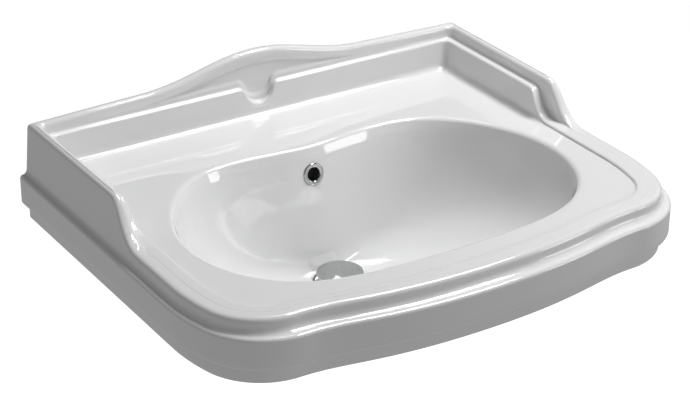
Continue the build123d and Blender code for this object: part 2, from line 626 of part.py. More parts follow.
with BuildPart() as shoulder_washers:
    for plane in fixing_planes():
        add(ring_bar(plane, SHOULDER_SLEEVE_R, BOLT_R + FIT, 1, BACK_T))
        add(ring_bar(plane, SHOULDER_R, BOLT_R + FIT, BACK_T, SHOULDER_OUT))
shoulder_washers.part.label = "shoulder_washers"
export_step(shoulder_washers.part, "parts/shoulder_washers.step")

with BuildPart() as steel_washers:
    for plane in fixing_planes():
        add(ring_bar(plane, STEEL_WASHER_R, BOLT_R + FIT, SHOULDER_OUT, WASHER_OUT))
steel_washers.part.label = "steel_washers"
export_step(steel_washers.part, "parts/steel_washers.step")

with BuildPart() as fixing_nuts:
    for plane in fixing_planes():
        add(hex_nut(plane, NUT_FLATS, BOLT_R + FIT / 2, WASHER_OUT, NUT_OUT))
fixing_nuts.part.label = "fixing_nuts"
export_step(fixing_nuts.part, "parts/fixing_nuts.step")
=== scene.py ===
"""Washbasin with splashback: glazed casting, chrome waste and overflow, wall fixings and studio."""

from __future__ import annotations

import json
import logging
import math
from dataclasses import dataclass, field
from enum import Enum

import bmesh
import bpy
import numpy as np
from mathutils import Matrix, Vector

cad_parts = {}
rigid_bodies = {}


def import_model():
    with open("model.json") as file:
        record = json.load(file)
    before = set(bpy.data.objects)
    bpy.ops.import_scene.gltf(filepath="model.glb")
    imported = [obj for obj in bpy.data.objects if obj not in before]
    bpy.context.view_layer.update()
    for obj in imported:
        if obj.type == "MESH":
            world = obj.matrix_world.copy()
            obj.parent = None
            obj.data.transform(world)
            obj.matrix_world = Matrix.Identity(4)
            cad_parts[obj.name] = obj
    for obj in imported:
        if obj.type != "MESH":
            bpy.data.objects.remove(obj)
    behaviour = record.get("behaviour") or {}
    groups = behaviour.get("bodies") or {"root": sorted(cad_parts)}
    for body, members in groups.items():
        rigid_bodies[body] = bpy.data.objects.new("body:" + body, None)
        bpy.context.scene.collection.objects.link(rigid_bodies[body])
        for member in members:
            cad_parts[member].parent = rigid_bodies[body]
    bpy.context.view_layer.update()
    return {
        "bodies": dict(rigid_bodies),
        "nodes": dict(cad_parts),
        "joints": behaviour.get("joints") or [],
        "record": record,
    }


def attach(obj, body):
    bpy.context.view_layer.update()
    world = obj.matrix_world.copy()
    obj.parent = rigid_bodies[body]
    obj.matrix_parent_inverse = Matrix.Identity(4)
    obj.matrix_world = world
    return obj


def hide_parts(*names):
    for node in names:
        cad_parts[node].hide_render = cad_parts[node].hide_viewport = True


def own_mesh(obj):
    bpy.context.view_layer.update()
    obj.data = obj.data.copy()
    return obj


LOG = logging.getLogger("washbasin")
MM = 0.001
DRAIN = (0.0, -221.0)


class Slot(Enum):
    """Material slots of the record that new pieces take their finish from."""

    GLAZE = "glazed_china"
    CHROME = "polished_chrome"
    RUBBER = "black_rubber"
    FOAM = "white_foam"
    NYLON = "white_nylon"
    BRASS = "brass"
    STEEL = "steel"
    ZINC = "zinc_steel"


class Body(Enum):
    """Moving groups of the object."""

    BASIN = "basin"
    PLUG = "plug"


# ---- finishes --------------------------------------------------------------------------------------
class NodeSheet:
    """Small helper that adds nodes to one material and links them."""

    def __init__(self, name: str) -> None:
        """Start an empty node material with its output and main shader.

        Args:
            name: name of the material.
        """
        self.material = bpy.data.materials.new(name)
        self.material.use_nodes = True
        self.tree = self.material.node_tree
        self.tree.nodes.clear()
        self.output = self.tree.nodes.new("ShaderNodeOutputMaterial")
        self.shader = self.tree.nodes.new("ShaderNodeBsdfPrincipled")
        self.link(self.shader, "BSDF", self.output, "Surface")
        self.place = self.add("ShaderNodeTexCoord")

    def add(self, kind: str, **inputs: object) -> bpy.types.Node:
        """Add a node and set its input sockets by name.

        Args:
            kind: Blender's node type.
            inputs: socket values, with underscores for spaces in their names.

        Returns:
            The new node.
        """
        node = self.tree.nodes.new(kind)
        for key, value in inputs.items():
            node.inputs[key.replace("_", " ")].default_value = value
        return node

    def link(self, source: bpy.types.Node, out: str, target: bpy.types.Node, into: str) -> None:
        """Link one socket to another by name."""
        self.tree.links.new(source.outputs[out], target.inputs[into])

    def noise(self, scale: float, detail: float,
              stretch: tuple[float, float, float] = (1, 1, 1)) -> bpy.types.Node:
        """Add a noise pattern on object coordinates.

        Args:
            scale: cycles per metre.
            detail: octaves of finer pattern.
            stretch: scale of each axis.

        Returns:
            The noise node.
        """
        mapping = self.add("ShaderNodeMapping", Scale=stretch)
        self.link(self.place, "Object", mapping, "Vector")
        pattern = self.add("ShaderNodeTexNoise", Scale=scale, Detail=detail)
        self.link(mapping, "Vector", pattern, "Vector")
        return pattern

    def span(self, source: bpy.types.Node, out: str, low: float, high: float) -> bpy.types.Node:
        """Map a pattern from 0 and 1 to a low and a high value.

        Args:
            source: node of the pattern.
            out: its output socket.
            low: value at 0.
            high: value at 1.

        Returns:
            The mapping node, with its result on the Result socket.
        """
        node = self.add("ShaderNodeMapRange", To_Min=low, To_Max=high)
        self.link(source, out, node, "Value")
        return node

    def tint(self, source: bpy.types.Node, out: str, dark: tuple, light: tuple) -> None:
        """Colour the shader between two tones by a pattern.

        Args:
            source: node of the pattern.
            out: its output socket.
            dark: colour at 0.
            light: colour at 1.
        """
        ramp = self.add("ShaderNodeValToRGB")
        ramp.color_ramp.elements[0].color = (*dark, 1)
        ramp.color_ramp.elements[1].color = (*light, 1)
        ramp.color_ramp.elements[0].position = 0.3
        ramp.color_ramp.elements[1].position = 0.7
        self.link(source, out, ramp, "Fac")
        self.link(ramp, "Color", self.shader, "Base Color")

    def bump(self, source: bpy.types.Node, out: str, height: float,
             under: bpy.types.Node | None = None) -> bpy.types.Node:
        """Add relief from a pattern, over an earlier relief if one is given.

        Args:
            source: node of the pattern.
            out: its output socket.
            height: height of the relief in metres.
            under: earlier bump node.

        Returns:
            The bump node.
        """
        node = self.add("ShaderNodeBump", Strength=1.0, Distance=height)
        self.link(source, out, node, "Height")
        if under:
            self.link(under, "Normal", node, "Normal")
        self.link(node, "Normal", self.shader, "Normal")
        return node

    def set(self, **values: object) -> None:
        """Set the shader's own sockets, with underscores for spaces in their names."""
        for key, value in values.items():
            self.shader.inputs[key.replace("_", " ")].default_value = value


@dataclass(frozen=True)
class GlazeFinish:
    """White glaze over fired china: a faint unevenness of tone, gloss and thickness."""

    white: tuple[float, float, float] = (0.81, 0.812, 0.81)
    shade: tuple[float, float, float] = (0.785, 0.788, 0.788)
    gloss: tuple[float, float] = (0.035, 0.075)
    ripple: float = 0.00013
    orange_peel: float = 0.000006

    def build(self) -> bpy.types.Material:
        """Make the glaze material."""
        sheet = NodeSheet("glaze")
        sheet.tint(sheet.noise(5.0, 3.0), "Fac", self.shade, self.white)
        rough = sheet.span(sheet.noise(38.0, 4.0), "Fac", *self.gloss)
        sheet.link(rough, "Result", sheet.shader, "Roughness")
        slow = sheet.bump(sheet.noise(22.0, 1.0), "Fac", self.ripple)
        sheet.bump(sheet.noise(420.0, 2.0), "Fac", self.orange_peel, slow)
        sheet.set(IOR=1.52, Coat_Weight=0.35, Coat_Roughness=0.02, Coat_IOR=1.5)
        return sheet.material


@dataclass(frozen=True)
class ChromeFinish:
    """Mirror-polished chrome with faint polishing lines and water marks."""

    bright: tuple[float, float, float] = (0.68, 0.685, 0.69)
    dull: tuple[float, float, float] = (0.58, 0.585, 0.59)

    def build(self) -> bpy.types.Material:
        """Make the chrome material."""
        sheet = NodeSheet("chrome")
        sheet.tint(sheet.noise(160.0, 3.0), "Fac", self.dull, self.bright)
        rough = sheet.span(sheet.noise(300.0, 5.0), "Fac", 0.03, 0.11)
        sheet.link(rough, "Result", sheet.shader, "Roughness")
        sheet.bump(sheet.noise(900.0, 2.0, (1, 1, 6)), "Fac", 0.0000025)
        sheet.set(Metallic=1.0)
        return sheet.material


@dataclass(frozen=True)
class MetalFinish:
    """Turned or plated metal with fine tool marks and small changes of tone."""

    name: str
    light: tuple[float, float, float]
    dark: tuple[float, float, float]
    rough: tuple[float, float] = (0.24, 0.42)
    marks: float = 0.000012

    def build(self) -> bpy.types.Material:
        """Make the metal material."""
        sheet = NodeSheet(self.name)
        sheet.tint(sheet.noise(55.0, 4.0), "Fac", self.dark, self.light)
        rough = sheet.span(sheet.noise(140.0, 5.0), "Fac", *self.rough)
        sheet.link(rough, "Result", sheet.shader, "Roughness")
        sheet.bump(sheet.noise(500.0, 3.0, (1, 1, 12)), "Fac", self.marks)
        sheet.set(Metallic=1.0)
        return sheet.material


@dataclass(frozen=True)
class MouldedFinish:
    """Moulded rubber, foam or nylon: a fine grain over a slightly mottled tone."""

    name: str
    light: tuple[float, float, float]
    dark: tuple[float, float, float]
    rough: tuple[float, float] = (0.45, 0.65)
    grain: float = 0.00003

    def build(self) -> bpy.types.Material:
        """Make the moulded material."""
        sheet = NodeSheet(self.name)
        sheet.tint(sheet.noise(80.0, 3.0), "Fac", self.dark, self.light)
        rough = sheet.span(sheet.noise(260.0, 4.0), "Fac", *self.rough)
        sheet.link(rough, "Result", sheet.shader, "Roughness")
        sheet.bump(sheet.noise(1400.0, 2.0), "Fac", self.grain)
        sheet.set(IOR=1.5)
        return sheet.material


@dataclass
class Finishes:
    """All the finishes of the object, by record slot."""

    made: dict[Slot, bpy.types.Material] = field(default_factory=dict)

    def build(self) -> "Finishes":
        """Make every material once."""
        self.made = {
            Slot.GLAZE: GlazeFinish().build(),
            Slot.CHROME: ChromeFinish().build(),
            Slot.RUBBER: MouldedFinish("rubber", (0.035, 0.035, 0.036), (0.018, 0.018, 0.019)).build(),
            Slot.FOAM: MouldedFinish("foam", (0.8, 0.8, 0.78), (0.68, 0.68, 0.66), (0.8, 0.95),
                                     0.00012).build(),
            Slot.NYLON: MouldedFinish("nylon", (0.8, 0.79, 0.75), (0.73, 0.72, 0.68)).build(),
            Slot.BRASS: MetalFinish("turned_brass", (0.78, 0.6, 0.3), (0.62, 0.45, 0.2)).build(),
            Slot.STEEL: MetalFinish("spring_steel", (0.6, 0.6, 0.61), (0.45, 0.45, 0.46),
                                    (0.15, 0.3)).build(),
            Slot.ZINC: MetalFinish("zinc_plate", (0.7, 0.71, 0.72), (0.5, 0.51, 0.54), (0.28, 0.5)).build(),
        }
        return self

    def dress(self, piece: bpy.types.Object, slot: Slot) -> None:
        """Give a piece the finish of its record slot.

        Args:
            piece: the piece.
            slot: the record's slot.
        """
        piece.data.materials.clear()
        piece.data.materials.append(self.made[slot])

    def dress_node(self, frame: dict, node: str, slot: Slot) -> None:
        """Give a carried-over node its finish, leaving its mesh alone.

        Args:
            frame: the loaded frame.
            node: name of the node.
            slot: the record's slot.
        """
        piece = frame["nodes"][node]
        for place in piece.material_slots:
            place.material = self.made[slot]
        if not piece.material_slots:
            piece.data.materials.append(self.made[slot])


# ---- mesh helpers ----------------------------------------------------------------------------------
def mesh_piece(name: str, points: np.ndarray, faces: list) -> bpy.types.Object:
    """Make a closed, smooth-shaded piece from points in millimetres.

    Args:
        name: name of the piece.
        points: rows of x, y, z in millimetres.
        faces: lists of point numbers.

    Returns:
        The new object, at the origin.
    """
    mesh = bpy.data.meshes.new(name)
    mesh.from_pydata((np.asarray(points) * MM).tolist(), [], [list(map(int, face)) for face in faces])
    piece = bpy.data.objects.new(name, mesh)
    bpy.context.collection.objects.link(piece)
    work = bmesh.new()
    work.from_mesh(mesh)
    bmesh.ops.remove_doubles(work, verts=work.verts, dist=1e-6)
    bmesh.ops.recalc_face_normals(work, faces=work.faces)
    work.to_mesh(mesh)
    work.free()
    mesh.shade_smooth()
    return piece


def sharpen(piece: bpy.types.Object, degrees: float = 32.0) -> None:
    """Keep the edges of a piece that are sharper than an angle crisp.

    Args:
        piece: the piece.
        degrees: smallest angle between faces that stays crisp.
    """
    piece.data.set_sharp_from_angle(angle=math.radians(degrees))


def cut(piece: bpy.types.Object, other: bpy.types.Object, operation: str) -> None:
    """Join another closed piece to this one, or cut it out, and remove the other.

    Args:
        piece: the piece that is changed.
        other: the piece that is added or cut out.
        operation: UNION or DIFFERENCE.
    """
    step = piece.modifiers.new("cut", "BOOLEAN")
    step.operation = operation
    step.solver = "MANIFOLD"
    step.object = other
    evaluated = piece.evaluated_get(bpy.context.evaluated_depsgraph_get())
    result = bpy.data.meshes.new_from_object(evaluated)
    piece.modifiers.clear()
    old = piece.data
    piece.data = result
    bpy.data.meshes.remove(old)
    bpy.data.objects.remove(other)


def grid_faces(rings: int, stations: int, closed: bool) -> list:
    """List the quads of a stack of closed rings.

    Args:
        rings: number of rings.
        stations: points in each ring.
        closed: whether the last ring joins the first.

    Returns:
        Quads as lists of point numbers.
    """
    faces = []
    for row in range(rings if closed else rings - 1):
        here, there = row * stations, ((row + 1) % rings) * stations
        for column in range(stations):
            after = (column + 1) % stations
            faces.append((here + column, here + after, there + after, there + column))
    return faces


def arc(centre: tuple, radius: float, start: float, end: float, steps: int) -> list:
    """Points of an arc in a profile.

    Args:
        centre: its centre.
        radius: its radius.
        start: first angle in degrees.
        end: last angle in degrees.
        steps: number of spans.

    Returns:
        Points of the arc, both ends included.
    """
    angles = [math.radians(start + (end - start) * step / steps) for step in range(steps + 1)]
    return [(centre[0] + radius * math.cos(a), centre[1] + radius * math.sin(a)) for a in angles]


def turned(name: str, profile: list, place: Matrix, spans: int = 96, ring: bool = True) -> bpy.types.Object:
    """Turn a profile about an axis.

    Args:
        name: name of the piece.
        profile: radius and height pairs, in order round the section.
        place: position of the axis, in millimetres.
        spans: number of spans round the axis.
        ring: True where the profile is closed and clear of the axis; False where both ends are on it.

    Returns:
        The turned piece.
    """
    rows = profile if ring else profile[1:-1]
    turns = [2 * math.pi * step / spans for step in range(spans)]
    points = [place @ Vector((r * math.cos(a), r * math.sin(a), z)) for r, z in rows for a in turns]
    faces = grid_faces(len(rows), spans, ring)
    if not ring:
        points += [place @ Vector((0, 0, profile[0][1])), place @ Vector((0, 0, profile[-1][1]))]
        last = (len(rows) - 1) * spans
        for step in range(spans):
            after = (step + 1) % spans
            faces.append((len(points) - 2, after, step))
            faces.append((len(points) - 1, last + step, last + after))
    piece = mesh_piece(name, np.array([tuple(point) for point in points]), faces)
    sharpen(piece)
    return piece


def drain_axis() -> Matrix:
    """Axis of the drain, upright."""
    return Matrix.Translation((DRAIN[0], DRAIN[1], 0))


def joined(name: str, pieces: list) -> bpy.types.Object:
    """Join pieces into one object.

    Args:
        name: name of the result.
        pieces: the pieces, which are removed.

    Returns:
        The joined object.
    """
    work = bmesh.new()
    for piece in pieces:
        work.from_mesh(piece.data)
        bpy.data.objects.remove(piece)
    mesh = bpy.data.meshes.new(name)
    work.to_mesh(mesh)
    work.free()
    result = bpy.data.objects.new(name, mesh)
    bpy.context.collection.objects.link(result)
    return result


# ---- screw threads, made with Geometry Nodes -------------------------------------------------------
@dataclass(frozen=True)
class ThreadTree:
    """Node tree of a screw thread: a triangular ridge that follows a helix."""

    name: str = "screw_thread"

    def build(self, finish: bpy.types.Material) -> bpy.types.NodeTree:
        """Make the tree with its sizes as named inputs.

        Args:
            finish: material of the thread.

        Returns:
            The node tree.
        """
        tree = bpy.data.node_groups.new(self.name, "GeometryNodeTree")
        tree.interface.new_socket("Geometry", in_out="INPUT", socket_type="NodeSocketGeometry")
        for label, value in (("Radius", 0.005), ("Pitch", 0.0015), ("Turns", 10.0), ("Depth", 0.0008)):
            socket = tree.interface.new_socket(label, in_out="INPUT", socket_type="NodeSocketFloat")
            socket.default_value = value
        tree.interface.new_socket("Geometry", in_out="OUTPUT", socket_type="NodeSocketGeometry")
        enter = tree.nodes.new("NodeGroupInput")
        leave = tree.nodes.new("NodeGroupOutput")
        spiral = tree.nodes.new("GeometryNodeCurveSpiral")
        spiral.inputs["Resolution"].default_value = 40
        height = tree.nodes.new("ShaderNodeMath")
        height.operation = "MULTIPLY"
        ridge = tree.nodes.new("GeometryNodeCurvePrimitiveCircle")
        ridge.inputs["Resolution"].default_value = 3
        sweep = tree.nodes.new("GeometryNodeCurveToMesh")
        sweep.inputs["Fill Caps"].default_value = True
        realize = tree.nodes.new("GeometryNodeRealizeInstances")
        paint = tree.nodes.new("GeometryNodeSetMaterial")
        paint.inputs["Material"].default_value = finish
        link = tree.links.new
        link(enter.outputs["Turns"], spiral.inputs["Rotations"])
        link(enter.outputs["Radius"], spiral.inputs["Start Radius"])
        link(enter.outputs["Radius"], spiral.inputs["End Radius"])
        link(enter.outputs["Turns"], height.inputs[0])
        link(enter.outputs["Pitch"], height.inputs[1])
        link(height.outputs[0], spiral.inputs["Height"])
        link(enter.outputs["Depth"], ridge.inputs["Radius"])
        link(spiral.outputs["Curve"], sweep.inputs["Curve"])
        link(ridge.outputs["Curve"], sweep.inputs["Profile Curve"])
        link(sweep.outputs["Mesh"], realize.inputs["Geometry"])
        link(realize.outputs["Geometry"], paint.inputs["Geometry"])
        link(paint.outputs["Geometry"], leave.inputs["Geometry"])
        return tree


@dataclass(frozen=True)
class Thread:
    """One screw thread: outer radius, pitch, length and depth of the ridge, in millimetres."""

    radius: float
    pitch: float
    length: float
    depth: float

    def build(self, name: str, tree: bpy.types.NodeTree, place: Matrix) -> bpy.types.Object:
        """Make the thread as a plain mesh.

        Args:
            name: name of the piece.
            tree: the thread's node tree.
            place: where the helix starts, in millimetres.

        Returns:
            The thread.
        """
        base = bpy.data.objects.new(name + "_base", bpy.data.meshes.new(name + "_base"))
        bpy.context.collection.objects.link(base)
        step = base.modifiers.new("thread", "NODES")
        step.node_group = tree
        values = {
            "Radius": (self.radius - self.depth) * MM,
            "Pitch": self.pitch * MM,
            "Turns": self.length / self.pitch,
            "Depth": self.depth * MM,
        }
        for item in tree.interface.items_tree:
            if item.in_out == "INPUT" and item.name in values:
                step[item.identifier] = values[item.name]
        mesh = bpy.data.meshes.new_from_object(base.evaluated_get(bpy.context.evaluated_depsgraph_get()))
        base.modifiers.clear()
        bpy.data.objects.remove(base)
        mesh.transform(Matrix.Scale(MM, 4) @ place @ Matrix.Scale(1 / MM, 4))
        piece = bpy.data.objects.new(name, mesh)
        bpy.context.collection.objects.link(piece)
        return piece


# ---- casting ---------------------------------------------------------------------------------------
@dataclass(frozen=True)
class PlanShape:
    """One closed plan line: insets from the band at the side and the front, and its corners."""

    side: float
    front: float
    back: float
    corner: float
    turn: float


@dataclass
class Stations:
    """Number of spans along each stretch of the right half of a plan line."""

    notch: int = 24
    back: int = 34
    corner: int = 7
    side: int = 62
    sweep: int = 14
    turn: int = 30
    front: int = 46


@dataclass
class Casting:
    """The glazed china casting, as one stack of matched closed lines from bowl to underside."""

    half: float = 340.0
    depth: float = 551.0
    bow: float = 25.0
    side_r: float = 263.0
    side_turn: float = 15.0
    lip_z: float = -23.0
    band_z: float = 40.0
    rim_z: float = 58.5
    deck_z: float = 54.0
    wing_z: float = 108.5
    ledge_z: float = 92.5
    crest_z: float = 140.0
    crest_half: float = 172.0
    crest_foot: float = 4.2
    draft: float = 5.0
    inner_lean: float = 7.0
    wing_fall: tuple[float, float] = (230.0, 70.0)
    ledge_fall: tuple[float, float] = (212.0, 44.0)
    edge_r: float = 6.0
    foot_r: float = 9.5
    inner_r: float = 6.0
    nose: float = 3.4
    floor_r: float = 3.4
    band_r: float = 4.4
    notch_half: float = 31.0
    notch_depth: float = 24.0
    notch_turn: float = 0.66
    stations: Stations = field(default_factory=Stations)
    bowl_edge: tuple[float, float, float] = (263.0, 139.5, 468.0)
    levels: tuple = (
        (56.0, 263.5, 138.5, 468.5),
        (20.0, 256.0, 148.5, 459.0),
        (-17.0, 239.0, 156.5, 437.0),
        (-51.0, 208.0, 163.5, 402.0),
        (-78.0, 163.0, 170.0, 356.0),
        (-96.0, 112.0, 176.0, 306.0),
        (-105.2, 66.0, 182.0, 268.0),
    )
    dip: float = 0.028
    shell: tuple[float, float] = (10.0, 11.0)
    rings: list = field(default_factory=list)
    directions: np.ndarray | None = None

    # -- plan lines
    def plan(self, shape: PlanShape) -> np.ndarray:
        """Points of a closed plan line, matched station by station with every other plan line.

        Args:
            shape: insets and corner sizes.

        Returns:
            Rows of x and y, round the whole line from the middle of the back.
        """
        count = self.stations
        half, front = self.half - shape.side, self.depth - shape.front
        turn = math.radians(self.side_turn)
        start_x = half - self.side_r * (1 - math.cos(turn))
        start_y = -(front - self.bow) + shape.turn * (1 - math.sin(turn))
        side_y = start_y + self.side_r * math.sin(turn)
        centre = (start_x - shape.turn * math.cos(turn), start_y + shape.turn * math.sin(turn))
        trough = self.trough()
        steps = np.linspace(0, len(trough) - 1, count.notch + 1)[:-1]
        near = np.interp(steps, np.arange(len(trough)), trough[:, 0])
        right = [(float(x), -shape.back) for x in near]
        reach, edge = half - shape.corner, float(trough[-1, 0])
        for s in range(count.back):
            share = s / count.back
            right.append((edge + (reach - edge) * (0.35 * share + 0.65 * share**1.35), -shape.back))
        pivot = (reach, -shape.back - shape.corner)
        right += arc(pivot, shape.corner, 90, 0, count.corner)[:-1]
        for s in range(count.side):
            right.append((half, pivot[1] + (side_y - pivot[1]) * s / count.side))
        pivot = (half - self.side_r, side_y)
        right += arc(pivot, self.side_r, 0, -self.side_turn, count.sweep)[:-1]
        right += arc(centre, shape.turn, -self.side_turn, -90, count.turn)[:-1]
        ends = [(centre[0], -(front - self.bow)), (0.75 * centre[0], -(front - self.bow)),
                (0.59 * centre[0], -front), (0.0, -front)]
        right += [bezier(ends, s / count.front) for s in range(count.front + 1)]
        line = np.array(right)
        mirror = line[-2:0:-1] * (-1, 1)
        return np.vstack([line, mirror])

    def bowl_line(self, size: tuple, grow: float = 0.0, roundness: float = 0.0) -> np.ndarray:
        """Kidney-shaped line of the bowl, read along the same directions at every level.

        Args:
            size: half width, back edge and front edge.
            grow: outward growth.
            roundness: 0 for the kidney, 1 for an ellipse.

        Returns:
            Rows of x and y.
        """
        half, back, front = size[0] + grow, size[1] - grow, size[2] + grow
        deep = front - back
        shares = ((0.0, self.dip * half / deep), (0.33, -0.002), (0.61, 0.022), (0.89, 0.225), (1.0, 0.515),
                  (0.925, 0.755), (0.727, 0.915), (0.37, 0.988), (0.0, 1.0))
        knots = np.array([(half * a, -back - deep * b) for a, b in shares])
        curve = smooth_line(knots, (1, 0), (-1, 0), 60)
        middle = np.array((0.0, -(back + front) / 2))
        offset = curve - middle
        angle = np.arctan2(offset[:, 0], offset[:, 1])
        radius = np.hypot(offset[:, 0], offset[:, 1])
        want = np.abs(self.directions)
        reach = np.interp(want, angle, radius)
        sin, cos = np.sin(want), np.cos(want)
        ellipse = 1 / np.sqrt((sin / half) ** 2 + (cos / (deep / 2)) ** 2)
        reach = reach * (1 - roundness) + ellipse * roundness
        side = np.sign(self.directions)
        return np.stack([reach * sin * side, middle[1] + reach * cos], axis=1)

    def trough(self) -> np.ndarray:
        """Right half of the trough's section: a hollow foot that runs into a round lip."""
        slope = 2 * math.atan(self.notch_depth / self.notch_half)
        reach = self.notch_half / math.sin(slope)
        foot_r, lip_r = self.notch_turn * reach, (1 - self.notch_turn) * reach
        foot = (0.0, self.ledge_z - self.notch_depth + foot_r)
        lip = (self.notch_half, self.ledge_z - lip_r)
        turn = math.degrees(slope)
        return np.array(arc(foot, foot_r, -90, turn - 90, 12) + arc(lip, lip_r, 90 + turn, 90, 12)[1:])

    # -- heights
    def fall(self, y: np.ndarray, top: float, run: tuple[float, float]) -> np.ndarray:
        """Height of a moulding that runs level and then falls to the rim in an ogee.

        Args:
            y: distances out from the wall, negative.
            top: height of the level run.
            run: where the fall starts and how long it is.

        Returns:
            Heights at those places.
        """
        start, length = run
        steps = np.linspace(0, 1, 80)
        ends = [(-start, top), (-start - 0.3 * length, top), (-(start + length) + 0.62 * length, self.rim_z),
                (-(start + length), self.rim_z)]
        path = np.array([bezier(ends, s) for s in steps])
        return np.interp(-y, -path[:, 0], path[:, 1])

    def crest(self, x: np.ndarray) -> np.ndarray:
        """Height of the splashback's top line.

        Args:
            x: places across the back.

        Returns:
            Heights at those places.
        """
        top, foot = self.crest_z, self.wing_z + self.crest_foot
        ends = [(0, top), (0.36 * self.crest_half, top), (0.58 * self.crest_half, foot + 0.8),
                (self.crest_half, foot)]
        path = np.array([bezier(ends, s) for s in np.linspace(0, 1, 80)])
        near = np.interp(np.abs(x), path[:, 0], path[:, 1])
        far = np.interp(np.abs(x), (self.crest_half, 313.0), (foot, self.wing_z))
        return np.where(np.abs(x) < self.crest_half, near, far)

    def top(self, line: np.ndarray) -> np.ndarray:
        """Height of the outer rim, wings and crest over a plan line."""
        wings = self.fall(line[:, 1], self.wing_z, self.wing_fall)
        return np.where(line[:, 1] > -30, self.crest(line[:, 0]), wings)

    def ledge(self, line: np.ndarray) -> np.ndarray:
        """Height of the ledge over a plan line, with the trough in its middle."""
        height = self.fall(line[:, 1], self.ledge_z, self.ledge_fall)
        path = self.trough()
        trough = np.interp(np.abs(line[:, 0]), path[:, 0], path[:, 1])
        return np.where(line[:, 1] > -60, np.minimum(height, trough), height)

    # -- rings
    def put(self, line: np.ndarray, height: np.ndarray | float) -> None:
        """Add one ring to the stack."""
        level = np.broadcast_to(np.asarray(height, dtype=float), (len(line),))
        self.rings.append(np.column_stack([line, level]))

    def put_at(self, side: float, front: float, back: float, corner: float, turn: float,
               height: np.ndarray | float) -> None:
        """Add the ring of a plan line at one height."""
        self.put(self.plan(PlanShape(side, front, back, corner, turn)), height)

    def outside(self) -> None:
        """Rings of the underside's inner wall, the lip, the band, the cove and the drafted rim."""
        self.put_at(21.7, 24.0, 16.0, 5.0, 74.0, 42.0)
        self.put_at(21.7, 24.0, 16.0, 5.0, 74.0, 38.0)
        self.put_at(21.7, 24.0, 16.0, 5.0, 74.0, 10.0)
        for drop, z in arc((18.7, self.lip_z + 3.0), 3.0, 0, -90, 4):
            step = 21.7 - drop
            self.put_at(21.7 - step, 24.0 - step, 16.0 - step, 5.0, 74.0 + step, z)
        for drop, z in arc((11.7 + 0.6, self.lip_z + 2.6), 2.6, -90, -180, 5):
            step = drop - 9.7
            self.put_at(9.7 + step, 12.0 + step, 0.6 + 0.4 * step, 1.5, 86.0 - step, z)
        self.put_at(9.7, 12.0, 0.3, 1.5, 86.0, -8.0)
        self.put_at(9.7, 12.0, 0.3, 1.5, 86.0, -1.6)
        for inset, z in arc((8.5, -1.2), 1.2, 0, 90, 3):
            self.put_at(inset, inset + 2.3, 0.15, 1.5, 86.0, z)
        for inset, z in arc((3.4, 3.4), 3.4, -90, -180, 6):
            self.put_at(inset, inset, 0.1, 1.2, 97.0 - inset, z)
        for z in (12.0, 24.0, 35.0):
            self.put_at(0.0, 0.0, 0.1, 1.2, 97.0, z)
        for inset, z in arc((self.band_r, self.band_z - self.band_r), self.band_r, 180, 90, 7):
            self.put_at(inset, inset, 0.1, 1.2, 97.0 - inset, z)
        self.cove()

    def cove(self) -> None:
        """Rings of the hollow moulding over the band and of the drafted wall above it."""
        lean = math.tan(math.radians(self.draft))
        foot = self.band_z
        for share in (0.5, 1.0):
            self.put_at(self.band_r, self.band_r + 1.6 * share, 0.1, 1.2, 92.6 - 2 * share, foot + 0.02)
        steps = arc((0.0, 1.0), 1.0, -90, 0, 9)
        for along, up in steps[1:]:
            self.put_at(self.band_r + (9.9 - self.band_r) * along, 6.0 + 9.9 * along, 0.1, 1.2,
                        90.6 - 9.2 * along, foot + 8.0 * up)
        first = self.plan(PlanShape(9.9, 15.9, 0.1, 1.2, 81.4))
        for share in (0.15, 0.4, 0.65, 0.85, 1.0):
            height = foot + 8.0 + share * (self.top(first) - self.edge_r - foot - 8.0)
            line = self.leaning(9.9, 15.9, (height - foot - 8.0) * lean, 0.1, 1.2, 81.4)
            self.put(line, height)

    def leaning(self, side: float, front: float, lean: np.ndarray, back: float, corner: float,
                turn: float) -> np.ndarray:
        """Plan line whose inset grows by a different amount at each station.

        Args:
            side: inset at the side.
            front: inset at the front.
            lean: extra inset at each station.
            back: distance from the wall.
            corner: radius of the back corners.
            turn: radius of the front corners.

        Returns:
            Rows of x and y.
        """
        low = self.plan(PlanShape(side, front, back, corner, turn))
        high = self.plan(PlanShape(side + 10, front + 10, back, corner, turn - 10))
        return low + (high - low) * (np.asarray(lean) / 10)[:, None]

    def rim(self) -> None:
        """Rings over the rim, wings and crest, down their inner face and over the ledge."""
        base = self.plan(PlanShape(9.9, 15.9, 0.1, 1.2, 81.4))
        lean = (self.top(base) - self.edge_r - 48.0) * math.tan(math.radians(self.draft))
        for angle in (18, 36, 54, 72, 90):
            a = math.radians(angle)
            over = self.edge_r * (1 - math.cos(a))
            line = self.leaning(9.9 + over, 15.9 + over, lean, 0.1 + 0.55 * over, 1.2 + 0.5 * over,
                                81.4 - over)
            self.put(line, self.top(line) - self.edge_r * (1 - math.sin(a)))
        line = self.plan(PlanShape(20.2, 25.3, 5.6, 6.0, 70.6))
        self.put(line, self.top(line))
        self.inner_top()
        self.panel()

    def inner_top(self) -> None:
        """Rings of the rounded inner edge of wings and crest."""
        for angle in (0, 18, 36, 54, 72, 90):
            a = math.radians(angle)
            over = self.inner_r * math.sin(a)
            line = self.plan(PlanShape(20.8 + over, 25.8 + over, 7.0 + over, 9.0, 70.6 - over))
            room = np.clip((self.top(line) - self.ledge(line)) / 12.0, 0, 1)
            self.put(line, self.top(line) - self.inner_r * (1 - math.cos(a)) * room)

